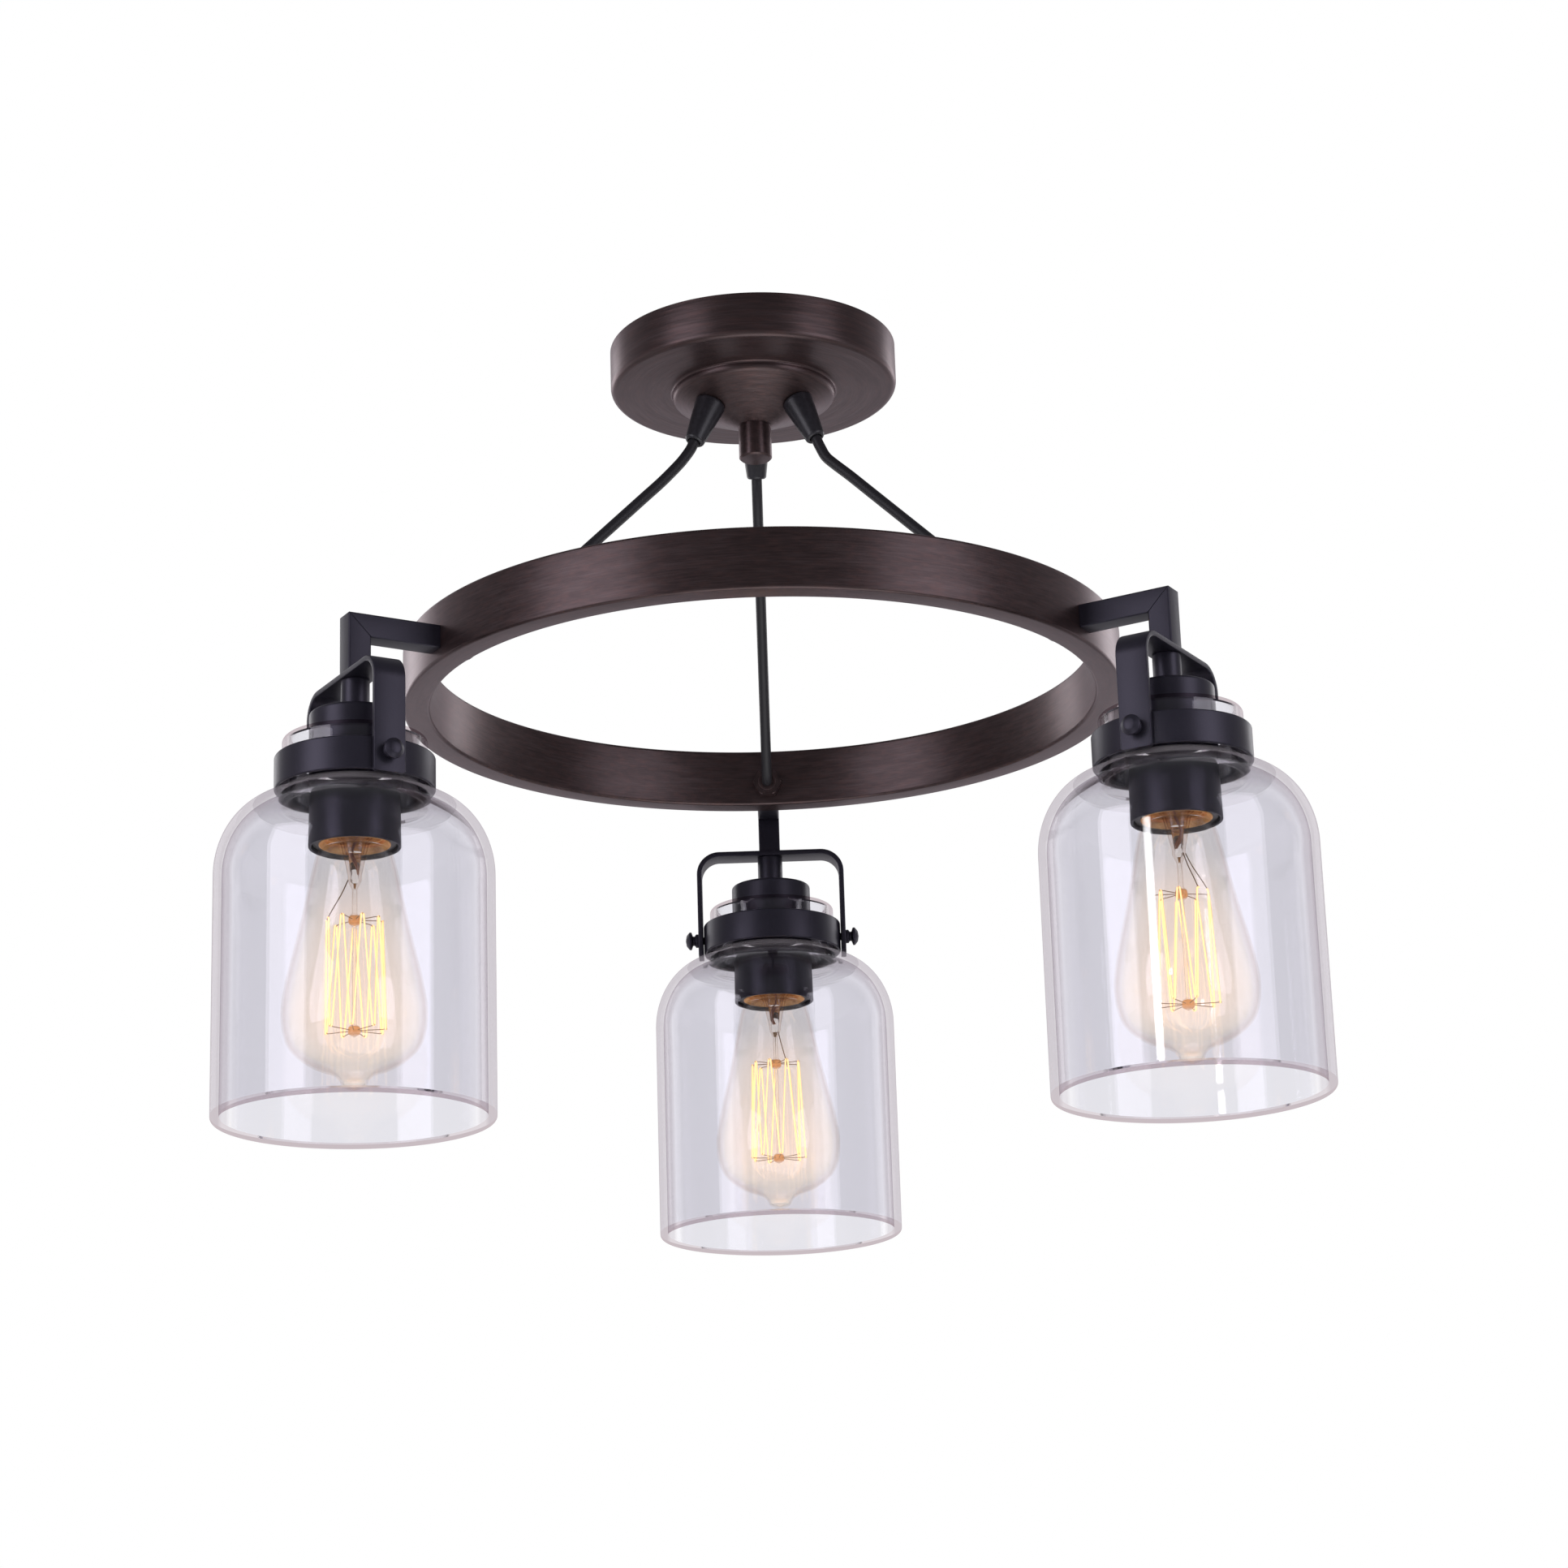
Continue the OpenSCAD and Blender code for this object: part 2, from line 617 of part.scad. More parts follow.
module arm(n) {
    color(satin_black) at_light(n) difference() {
        elbow(arm_side, arm_edge_r, 0);
        elbow(arm_side - 2 * arm_wall, 0.3, cut);
    }
}
module arm_plug() {
    difference() {
        linear_extrude(height = plug_length) polygon(round_square(plug_side, 0.4));
        translate([0, 0, -cut]) cylinder(h = plug_length + 2 * cut, r = bolt_r + thread_fit);
    }
}
module arm_plugs() {
    color(zinc) for (n = [1:3]) {
        at_arm(n) translate([ring_r + 0.1, 0, -arm_drop]) rotate([0, 90, 0]) arm_plug();
        at_light(n) translate([0, 0, leg_z]) arm_plug();
    }
}

// Leads in the arms: from the cord's end in the bolt to the lampholder
module arm_leads() {
    start = cord_span[len(cord_span) - 1].x + seat_gap;
    bend_x = arm_reach - lead_bend_r;
    bend_z = -arm_drop - lead_bend_r;
    color([0.8, 0.8, 0.78]) for (n = [1:3]) {
        at_arm(n) {
            translate([start, 0, -arm_drop]) rotate([0, 90, 0])
                cylinder(h = bend_x - start, d = lead_d);
            translate([bend_x, 0, bend_z]) rotate([90, 0, 0]) rotate_extrude(angle = 90)
                translate([lead_bend_r, 0]) circle(d = lead_d);
            translate([arm_reach, 0, nipple_end_z - 4])
                cylinder(h = bend_z - nipple_end_z + 4, d = lead_d);
        }
    }
}

// Nipples: hollow threads that clamp bail, coupling and cup under an arm's leg
module lamp_nipples() {
    color(zinc) for (n = [1:3]) {
        at_light(n) hollow_rod(bolt_r, hollow_bore_d / 2, nipple_end_z, leg_z + plug_length);
    }
}

// Bails: flat strap bent to a U, square to the arm, with its ears outside the neck band
module bail(n) {
    leg_foot_z = bail_top_z - bail_height;
    c = bail_out_r - bail_corner_r;
    cz = bail_top_z - bail_corner_r;
    in_r = bail_corner_r - bail_thickness;
    half = bail_width / 2;
    outline = concat(
        [[-bail_out_r, leg_foot_z]], arc(-c, cz, bail_corner_r, 180, 90, 8),
        arc(c, cz, bail_corner_r, 90, 0, 8),
        [[bail_out_r, leg_foot_z], [bail_in_r, leg_foot_z]],
        arc(c, cz, in_r, 0, 90, 8), arc(-c, cz, in_r, 90, 180, 8), [[-bail_in_r, leg_foot_z]]
    );
    face = concat(
        arc(-half + bail_end_r, leg_foot_z + bail_end_r, bail_end_r, 180, 270, 4),
        arc(half - bail_end_r, leg_foot_z + bail_end_r, bail_end_r, 270, 360, 4),
        [[half, bail_top_z + cut], [-half, bail_top_z + cut]]
    );
    color(satin_black) at_light(n) difference() {
        intersection() {
            rotate([90, 0, 90]) translate([0, 0, -half]) linear_extrude(height = bail_width)
                polygon(outline);
            rotate([90, 0, 0]) translate([0, 0, -bail_out_r - cut])
                linear_extrude(height = 2 * (bail_out_r + cut)) polygon(face);
        }
        translate([0, 0, coupling_top_z - cut])
            cylinder(h = bail_thickness + 2 * cut, r = bolt_r + free_fit);
        translate([0, 0, thumbscrew_z]) rotate([90, 0, 0]) translate([0, 0, -bail_out_r - cut])
            cylinder(h = 2 * (bail_out_r + cut), d = thumbscrew_d + 2 * thread_fit);
    }
}

// Couplings: round spacers between bail and cup
module couplings() {
    color(satin_black) for (n = [1:3]) {
        at_light(n) hollow_rod(coupling_d / 2, bolt_r + free_fit, cup_top_z, coupling_top_z);
    }
}

// Socket cups: deep drawn, open below, with a rounded upper edge
module socket_cup(n) {
    r = cup_d / 2;
    in_edge_r = cup_edge_r - cup_wall;
    color(satin_black) at_light(n) rotate_extrude() polygon(concat(
        [[bolt_r + free_fit, cup_top_z]],
        arc(r - cup_edge_r, cup_top_z - cup_edge_r, cup_edge_r, 90, 0, 5),
        [[r, cup_bottom_z], [cup_in_r, cup_bottom_z]],
        arc(r - cup_edge_r, cup_top_z - cup_edge_r, in_edge_r, 0, 90, 2),
        [[bolt_r + free_fit, cup_top_z - cup_wall]]
    ));
}
module cup_locknuts() {
    color(zinc) for (n = [1:3]) {
        at_light(n) translate([0, 0, cup_nut_z]) hex_nut(cup_nut_af, cup_nut_h, bolt_r + thread_fit);
    }
}

// Lampholders: ceramic bodies in the cups, with a screw shell and a centre contact
function thread_wave(mid_r, z0, z1) =
    let (turns = round((z1 - z0) / thread_pitch), steps = turns * 6)
    [for (i = [0:steps]) [
        mid_r - thread_depth / 2 * cos(360 * turns * i / steps), z0 + (z1 - z0) * i / steps
    ]];
module lampholder(n) {
    boss_h = 3;
    boss_holder_r = 7;
    color([0.16, 0.15, 0.15]) at_light(n) rotate_extrude() polygon([
        [bolt_r + thread_fit, holder_top_z], [boss_holder_r, holder_top_z],
        [boss_holder_r, holder_top_z - boss_h], [holder_r - 1, holder_top_z - boss_h],
        [holder_r, holder_top_z - boss_h - 1], [holder_r, holder_bottom_z],
        [shell_bore_r + shell_lip, holder_bottom_z], [shell_bore_r, holder_bottom_z + shell_lip],
        [shell_bore_r, contact_top_z], [0, contact_top_z], [0, nipple_end_z - 5],
        [bolt_r + thread_fit, nipple_end_z - 5]
    ]);
}
module screw_shells() {
    z0 = holder_bottom_z + shell_lip + 0.4;
    z1 = contact_top_z - 3;
    lip_r = shell_bore_r + shell_lip - 2 * thread_fit;
    color(brass) for (n = [1:3]) {
        at_light(n) rotate_extrude() polygon(concat(
            [[lip_r - shell_wall, holder_bottom_z]],
            thread_wave(shell_mid_r, z0, z1), reversed(thread_wave(shell_mid_r + shell_wall, z0, z1)),
            [[lip_r, holder_bottom_z]]
        ));
    }
}
module center_contacts() {
    color(brass) for (n = [1:3]) {
        at_light(n) translate([0, 0, contact_top_z - contact_thickness])
            cylinder(h = contact_thickness, d = contact_d);
    }
}

// Neck bands: rolled hoops round the glass necks, carried by the thumbscrews
module neck_band(n) {
    top = bail_top_z - band_drop;
    bottom = top - band_height;
    edge = 0.75 * band_thickness;
    in_r = band_r - band_thickness;
    color(satin_black) at_light(n) difference() {
        rotate_extrude() polygon(concat(
            [[in_r, top], [in_r, bottom]], arc(band_r - edge, bottom + edge, edge, 270, 360, 4),
            arc(band_r - edge, top - edge, edge, 0, 90, 4)
        ));
        translate([0, 0, thumbscrew_z]) rotate([90, 0, 0]) translate([0, 0, -band_r - cut])
            cylinder(h = 2 * (band_r + cut), d = thumbscrew_d + 2 * thread_fit);
    }
}

// Thumbscrews: a collar, a waist and a domed head, with a thread through ear and band whose tip
// bears on the glass neck
module thumbscrew(n, side) {
    shank = bail_out_r - neck_r - seat_gap;
    thread_r = thumbscrew_d / 2;
    head_r = thumb_head_d / 2;
    collar_r = 0.76 * head_r;
    collar_h = 0.2 * thumb_height;
    waist_r = 0.53 * head_r;
    color(satin_black) at_light(n) translate([0, 0, thumbscrew_z]) rotate([0, 0, side * 90])
        translate([bail_out_r + thread_fit, 0, 0]) rotate([0, 90, 0])
        rotate_extrude($fn = 48) polygon(concat(
            [[0, -shank], [thread_r - 0.5, -shank], [thread_r, 0.5 - shank], [thread_r, 0],
                [collar_r - 0.3, 0], [collar_r, 0.3], [collar_r, collar_h - 0.4],
                [collar_r - 0.4, collar_h], [waist_r, 1.5 * collar_h], [waist_r, 2.2 * collar_h]],
            arc(head_r - 0.5, 0.6 * thumb_height, 0.5, -60, 45, 4),
            [[0.6 * head_r, 0.92 * thumb_height], [0.3 * head_r, 0.99 * thumb_height],
                [0, thumb_height]]
        ));
}

// Glass shades: a straight neck, a rounded shoulder and a jar body that is open below
function shade_outline(d) =
    let (a = shade_d / 2 - neck_r - d, b = shade_shoulder_h - d, first = acos(shade_fillet_r / a))
    concat(
        arc(fillet_x, fillet_z, shade_fillet_r + d, 180, 270, 6),
        [for (i = [0:14]) let (t = first * (1 - i / 14))
            [neck_r + a * cos(t), shoulder_z - shade_shoulder_h + b * sin(t)]]
    );
module glass_shade(n) {
    rim = shade_wall / 2;
    body_r = shade_d / 2;
    color(glass_tint) at_light(n) rotate_extrude($fn = 96) polygon(concat(
        arc(neck_r - rim, shade_top_z - rim, rim, 180, 0, 6), shade_outline(0),
        arc(body_r - rim, shade_foot_z + rim, rim, 0, -180, 6), reversed(shade_outline(shade_wall))
    ));
}

// Bulbs: a pear-shaped envelope with a tip, a glass stem, a screw cap and a caged filament. The
// envelope was drawn 64 mm wide and 114.3 mm long, and its points follow the bulb's own sizes
function bulb_controls() =
    let (w = bulb_d / 64, h = bulb_length / 114.3, z = cap_edge_z, r = bulb_neck_r)
    [
        [r, z + 10], [r, z + 0.6], [r + 0.5, z - 1], [w * 14.5, z - h * 4.5], [w * 17.8, z - h * 11],
        [w * 24.4, z - h * 42], [w * 30.2, z - h * 66.5], [w * 32, z - h * 81.5],
        [w * 29.2, z - h * 94.5], [w * 20.5, z - h * 102.6], [w * 10.2, z - h * 107],
        [w * 6.6, z - h * 109.8], [w * 4.9, z - h * 112.7], [0, bulb_tip_z]
    ];
function inset(p, d) = [for (i = [0:len(p) - 1])
    let (t = tangent(p, i)) [max(0, p[i].x + d * t.y), i == len(p) - 1 ? p[i].y + d : p[i].y - d * t.x]];
module bulb_glass(n) {
    outline = spline(bulb_controls(), 3);
    flare_r = outline[0].x - bulb_wall - thread_fit;
    flare_z = outline[0].y - 0.5;
    color(warm_glass) at_light(n) {
        rotate_extrude() polygon(concat(outline, reversed(inset(outline, bulb_wall))));
        rotate_extrude($fn = 24) polygon([
            [flare_r, flare_z], [flare_r - 1.2, flare_z - 6], [stem_r + 1.5, flare_z - 12],
            [stem_r, flare_z - 18], [press_r, press_z + 2], [press_r, press_z],
            [1.2, press_z - 4], [1.2, cage_top_z + 3],
            [button_r, cage_top_z + 1.5], [button_r, cage_top_z - 1.5], [1, cage_top_z - 3],
            [1, cage_foot_z + 3], [button_r, cage_foot_z + 1.5], [button_r, cage_foot_z - 1.5],
            [0, cage_foot_z - 3], [0, flare_z - 20], [stem_r - 1, flare_z - 17],
            [stem_r + 0.4, flare_z - 11], [flare_r - 2.2, flare_z - 5], [flare_r - 0.9, flare_z]
        ]);
    }
}
module bulb_cap(n) {
    bore_r = bulb_neck_r + free_fit;
    wave_foot_z = cap_edge_z + 1.6;
    wave_top_z = wave_foot_z + 5 * thread_pitch;
    color(brass) at_light(n) rotate_extrude() polygon(concat(
        [[0, cap_top_z], [4, cap_top_z], [4.8, cap_top_z - 0.8], [9.4, cap_top_z - 2.4]],
        [[cap_mid_r - thread_depth / 2, wave_top_z + 1]],
        reversed(thread_wave(cap_mid_r, wave_foot_z, wave_top_z)),
        [[cap_crest_r, cap_edge_z + 1], [cap_crest_r, cap_edge_z], [bore_r, cap_edge_z],
            [bore_r, cap_top_z - 5], [0, cap_top_z - 5]]
    ));
}

// Filament: one wire that runs up and down between two rings of hooks on the stem's buttons
function hook_pair(a, r, z, turn) = [for (side = [-1, 1])
    [r * cos(a + side * turn), r * sin(a + side * turn), z]];
function filament_path() =
    let (lead_r = press_r + filament_d, ends = [for (a = [0, cage_turn])
        [lead_r * cos(a), lead_r * sin(a), press_z]])
    concat(
        [ends[0]],
        [for (i = [0:2 * filament_hooks])
            let (a = cage_turn * i / (2 * filament_hooks), top = i % 2 == 0)
            each hook_pair(a, top ? cage_top_r : cage_foot_r, top ? cage_top_z : cage_foot_z, 2.6)],
        [ends[1]]
    );
module filament(n) {
    color([1, 0.75, 0.35]) at_light(n) {
        tube(filament_path(), filament_d / 2, 6);
        for (i = [1:2 * filament_hooks - 1]) {
            top = i % 2 == 0;
            start = button_r + thread_fit;
            reach = (top ? cage_top_r : cage_foot_r) - filament_d / 2 - 0.15;
            rotate([0, 0, cage_turn * i / (2 * filament_hooks)])
                translate([start, 0, top ? cage_top_z : cage_foot_z])
                rotate([0, 90, 0]) cylinder(h = reach - start, d = hook_wire_d, $fn = 16);
        }
    }
}
canopy();
mounting_bar();
center_stud();
stud_locknut();
ground_screw();
cord_grips();
grip_locknuts();
cord(1);  // cord_1
cord(2);  // cord_2
cord(3);  // cord_3
wire_connectors();
splice_wires();
finial();
ring();
hollow_bolts();
arm(1);  // arm_1
arm(2);  // arm_2
arm(3);  // arm_3
arm_plugs();
arm_leads();
lamp_nipples();
bail(1);  // bail_1
bail(2);  // bail_2
bail(3);  // bail_3
couplings();
socket_cup(1);  // socket_cup_1
socket_cup(2);  // socket_cup_2
socket_cup(3);  // socket_cup_3
cup_locknuts();
lampholder(1);  // lampholder_1
lampholder(2);  // lampholder_2
lampholder(3);  // lampholder_3
screw_shells();
center_contacts();
neck_band(1);  // neck_band_1
neck_band(2);  // neck_band_2
neck_band(3);  // neck_band_3
glass_shade(1);  // glass_shade_1
glass_shade(2);  // glass_shade_2
glass_shade(3);  // glass_shade_3
thumbscrew(1, 1);  // thumbscrew_1a
thumbscrew(1, -1);  // thumbscrew_1b
thumbscrew(2, 1);  // thumbscrew_2a
thumbscrew(2, -1);  // thumbscrew_2b
thumbscrew(3, 1);  // thumbscrew_3a
thumbscrew(3, -1);  // thumbscrew_3b
bulb_glass(1);  // bulb_glass_1
bulb_glass(2);  // bulb_glass_2
bulb_glass(3);  // bulb_glass_3
bulb_cap(1);  // bulb_cap_1
bulb_cap(2);  // bulb_cap_2
bulb_cap(3);  // bulb_cap_3
filament(1);  // filament_1
filament(2);  // filament_2
filament(3);  // filament_3
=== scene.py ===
"""The looks of a semi-flush ceiling light: a spun canopy, three slanted cords, a hanging ring and
three clear glass lights with caged filaments. Sizes are in millimetres, and a piece's mesh is made
metres as it is built. Light 1 stands at +Y, and lights 2 and 3 follow at 120 degrees each."""

import math

import bmesh
import bpy
from mathutils import Matrix, Vector


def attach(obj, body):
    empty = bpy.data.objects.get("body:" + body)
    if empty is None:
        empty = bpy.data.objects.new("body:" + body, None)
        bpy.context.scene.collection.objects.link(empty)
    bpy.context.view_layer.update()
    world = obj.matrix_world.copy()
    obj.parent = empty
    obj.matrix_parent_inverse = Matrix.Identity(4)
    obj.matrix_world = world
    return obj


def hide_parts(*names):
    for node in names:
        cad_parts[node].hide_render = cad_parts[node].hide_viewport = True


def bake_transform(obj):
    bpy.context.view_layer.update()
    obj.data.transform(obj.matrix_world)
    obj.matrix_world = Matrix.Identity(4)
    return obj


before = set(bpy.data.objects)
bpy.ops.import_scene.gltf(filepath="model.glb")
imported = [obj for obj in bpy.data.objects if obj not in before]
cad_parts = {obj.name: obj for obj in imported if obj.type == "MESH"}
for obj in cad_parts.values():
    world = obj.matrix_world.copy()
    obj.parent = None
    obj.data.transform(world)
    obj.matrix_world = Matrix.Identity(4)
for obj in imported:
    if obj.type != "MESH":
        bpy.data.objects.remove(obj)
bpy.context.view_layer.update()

# Camera. A long lens looks up at the light from in front and below, from 1.8 m away, and the
# picture is turned by a little under two degrees.
rise = math.radians(16.854)
lean = math.radians(-1.82)
look = Vector((0, math.cos(rise), math.sin(rise)))
level = Vector((1, 0, 0))
over = level.cross(look)
right = level * math.cos(lean) + over * math.sin(lean)
upright = over * math.cos(lean) - level * math.sin(lean)
aimed_at, away = Vector((0.00878, 0, -0.2233)), 1.7841
lens = bpy.data.cameras.new("camera")
lens.lens = 86.14
lens.sensor_width = 36
lens.clip_end = 50
camera = bpy.data.objects.new("camera", lens)
turned_to = Matrix((right, upright, -look)).transposed().to_4x4()
camera.matrix_world = Matrix.Translation(aimed_at - away * look) @ turned_to
bpy.context.scene.collection.objects.link(camera)
bpy.context.scene.camera = camera


# Cords. Three round black rubber cords carry the ring and its current. Each leaves a grip on the
# canopy, bends once and runs straight down to the head of a hollow bolt inside the ring.
class Socket:
    """An output of a node, on which maths is written with the usual signs."""

    def __init__(self, nodes, output):
        self.nodes = nodes
        self.output = output

    def also(self, name):
        return Socket(self.nodes, self.output.node.outputs[name])

    def maths(self, operation, *values):
        return self.nodes.new("ShaderNodeMath", {"operation": operation}, dict(enumerate(values)))

    def __add__(self, other):
        return self.maths("ADD", self, other)

    def __sub__(self, other):
        return self.maths("SUBTRACT", self, other)

    def __rsub__(self, other):
        return self.maths("SUBTRACT", other, self)

    def __mul__(self, other):
        return self.maths("MULTIPLY", self, other)

    def __truediv__(self, other):
        return self.maths("DIVIDE", self, other)

    def __rtruediv__(self, other):
        return self.maths("DIVIDE", other, self)

    def __pow__(self, other):
        return self.maths("POWER", self, other)

    __radd__ = __add__
    __rmul__ = __mul__

    def below(self, limit):
        return self.maths("LESS_THAN", self, limit)

    def above(self, limit):
        return self.maths("GREATER_THAN", self, limit)

    def floor(self):
        return self.maths("FLOOR", self)

    def cosine(self):
        return self.maths("COSINE", self)

    def sine(self):
        return self.maths("SINE", self)


class Nodes:
    """The nodes of one tree. new() adds any of them: its settings first, then its sockets."""

    def __init__(self, tree):
        self.tree = tree

    def new(self, kind, settings=None, sockets=None, output=0):
        node = self.tree.nodes.new(kind)
        for name, value in (settings or {}).items():
            if name == "stops":
                ramp = node.color_ramp
                while len(ramp.elements) < len(value):
                    ramp.elements.new(0.5)
                for stop, (place, colour) in zip(ramp.elements, value):
                    stop.position = place
                    stop.color = (*colour, 1)
            else:
                setattr(node, name, value)
        self.fill(node, sockets or {})
        return Socket(self, node.outputs[output])

    def fill(self, node, sockets):
        for name, value in sockets.items():
            slot = node.inputs[name]
            if isinstance(value, Socket):
                self.tree.links.new(value.output, slot)
            elif slot.type == "RGBA":
                slot.default_value = (*value, 1)
            else:
                slot.default_value = value

    def mixed(self, share, first, second):
        return self.new("ShaderNodeMix", {"data_type": "RGBA"}, {0: share, 6: first, 7: second}, 2)

    def grain(self, where, scale, detail):
        sockets = {"Vector": where, "Scale": scale, "Detail": detail}
        return self.new("ShaderNodeTexNoise", {}, sockets)

    def ramp(self, value, *stops):
        return self.new("ShaderNodeValToRGB", {"stops": stops}, {0: value})

    def mask(self, value, start, end, full=1.0):
        """A rise from nothing at the start to the full strength at the end."""
        return self.ramp(value, (start, (0, 0, 0)), (end, (full, full, full)))

    def blended(self, share, first, second):
        return self.new("ShaderNodeMixShader", {}, {0: share, 1: first, 2: second})

    def parted(self, where):
        """The X of a vector; its Y and Z are also there."""
        return self.new("ShaderNodeSeparateXYZ", {}, {0: where})

    def facing(self):
        return self.new("ShaderNodeLayerWeight", {}, {"Blend": 0.5}, "Facing")


class Finish(Nodes):
    """The material of one of the record's slots, built on a Principled shader."""

    def __init__(self, slot, sockets, name=None):
        self.slot = slot
        self.material = bpy.data.materials.new(name or slot)
        self.material.use_nodes = True
        super().__init__(self.material.node_tree)
        self.shader = self.tree.nodes["Principled BSDF"]
        self.lit = Socket(self, self.shader.outputs["BSDF"])
        self.where = self.new("ShaderNodeTexCoord", output="Object")
        self.give(sockets)

    def give(self, sockets):
        self.fill(self.shader, sockets)

    def height(self):
        """How high a point of the piece is, in metres."""
        return self.parted(self.where).also("Z")

    def speckle(self, scale, detail, dark, light, smooth, rougher, start=0.3):
        """A fine mottle from a dark to a light colour, which is rougher where it is lighter."""
        spots = self.grain(self.where, scale, detail)
        self.give({
            "Base Color": self.ramp(spots, (start, dark), (0.7, light)),
            "Roughness": smooth + spots * rougher,
        })
        return spots

    def bump(self, height, distance, strength=1.0):
        sockets = {"Height": height, "Distance": distance, "Strength": strength}
        self.give({"Normal": self.new("ShaderNodeBump", {}, sockets)})


def light_angle(n):
    return math.radians(90 + 120 * (n - 1))


def flowing(points, steps):
    """A smooth line through the points, with this many steps from one to the next."""
    points = [Vector(p) for p in points]
    line = []
    for i in range(len(points) - 1):
        a, b = points[max(i - 1, 0)], points[i]
        c, d = points[i + 1], points[min(i + 2, len(points) - 1)]
        for k in range(steps):
            t = k / steps
            line.append(
                0.5 * (2 * b + (c - a) * t + (2 * a - 5 * b + 4 * c - d) * t * t)
                + 0.5 * (3 * b - a - 3 * c + d) * t ** 3
            )
    return line + [points[-1]]


def tube(line, radius, sides=16):
    """A round tube along a line, with its rings square to the line and its ends closed."""
    line = [Vector(p) for p in line]
    last = len(line) - 1
    runs = [(line[min(i + 1, last)] - line[max(i - 1, 0)]).normalized() for i in range(last + 1)]
    across = runs[0].orthogonal().normalized()
    points = []
    for place, run in zip(line, runs):
        across = (across - across.dot(run) * run).normalized()
        for k in range(sides):
            turn = 2 * math.pi * k / sides
            out = across * math.cos(turn) + run.cross(across) * math.sin(turn)
            points.append(place + radius * out)
    faces = [tuple(range(sides))[::-1], tuple(range(last * sides, (last + 1) * sides))]
    for i in range(last):
        for k in range(sides):
            a, b = i * sides + k, i * sides + (k + 1) % sides
            faces.append((a, b, b + sides, a + sides))
    return points, faces


def moved(shape, place):
    return [place @ Vector(p) for p in shape[0]], shape[1]


def together(*shapes):
    points, faces = [], []
    for more_points, more_faces in shapes:
        faces += [tuple(i + len(points) for i in face) for face in more_faces]
        points += more_points
    return points, faces


def piece(name, shape, finish, body, stands_for=(), place=Matrix(), keen=35):
    """A new piece in its finish, carried by a body. Edges keener than the angle stay crisp."""
    mesh = bpy.data.meshes.new(name)
    mesh.from_pydata([(place @ Vector(p)) * 0.001 for p in shape[0]], [], shape[1])
    work = bmesh.new()
    work.from_mesh(mesh)
    bmesh.ops.remove_doubles(work, verts=work.verts, dist=1e-7)
    bmesh.ops.recalc_face_normals(work, faces=work.faces)
    work.to_mesh(mesh)
    work.free()
    mesh.shade_smooth()
    mesh.set_sharp_from_angle(angle=math.radians(keen))
    mesh.materials.append(finish.material)
    made = bpy.data.objects.new(name, mesh)
    bpy.context.scene.collection.objects.link(made)
    if stands_for:
        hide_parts(*stands_for)
    if body:
        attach(made, body)
    return made


cord_rubber = Finish("cord_rubber", {
    "Base Color": (0.013, 0.012, 0.015), "Specular IOR Level": 0.4,
})
pores = cord_rubber.grain(cord_rubber.where, 1400, 3)
cord_rubber.give({"Roughness": 0.42 + pores * 0.16})
cord_rubber.bump(pores, 0.00008, 0.4)

cord_d = 5.2
cord_start = [(19.4, 0, -21.2), (24.5, 0, -32.7), (29.4, 0, -43.7), (34.1, 0, -54.2)]
cord_bends = [
    [(36.2, 0, -58.9), (39.2, 0, -63.5), (43.5, 0, -68.6)],
    [(35.9, 0, -57.9), (38.6, 0, -62.0), (43, 0, -67.6)],
    [(36.5, 0, -59.6), (39.2, 0, -64.8), (43.7, 0, -69.6)],
]
cord_span = [
    (52, 0, -77.5), (62, 0, -87.5), (72, 0, -97.5), (82, 0, -107.5), (92, 0, -117.5),
    (102, 0, -127.5), (112, 0, -137.5), (122, 0, -147.5), (132, 0, -157.5), (140, 0, -165.5),
    (144.5, 0, -169.8), (149, 0, -173.1), (153.5, 0, -174.9), (157.4, 0, -175),
]
for n in (1, 2, 3):
    in_arm = Matrix.Rotation(light_angle(n), 4, "Z")
    route = flowing([in_arm @ Vector(p) for p in cord_start + cord_bends[n - 1] + cord_span], 6)
    cord = piece(f"cord_{n}_sheath", tube(route, cord_d / 2, 24), cord_rubber, None, [f"cord_{n}"])
    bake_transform(cord)
    path = [p * 0.001 for p in route]
    sum((b - a).length for a, b in zip(path, path[1:]))


# Canopy. A pan of spun steel, 140 mm across, with a shallow cone in the middle of its underside.
# It is brushed as it turns, toned dark brown and lacquered.
def turned(outline, sides=192):
    """A piece turned from a closed outline of (radius, height); a point on the axis is a pole."""
    points, faces, rings = [], [], []
    for radius, height in outline:
        if radius < 1e-6:
            rings.append([len(points)] * sides)
            points.append(Vector((0, 0, height)))
            continue
        rings.append(list(range(len(points), len(points) + sides)))
        for k in range(sides):
            turn = 2 * math.pi * k / sides
            points.append(Vector((radius * math.cos(turn), radius * math.sin(turn), height)))
    for i, near in enumerate(rings):
        far = rings[(i + 1) % len(rings)]
        for k in range(sides):
            j = (k + 1) % sides
            face = tuple(dict.fromkeys((near[k], near[j], far[j], far[k])))
            if len(face) > 2:
                faces.append(face)
    return points, faces


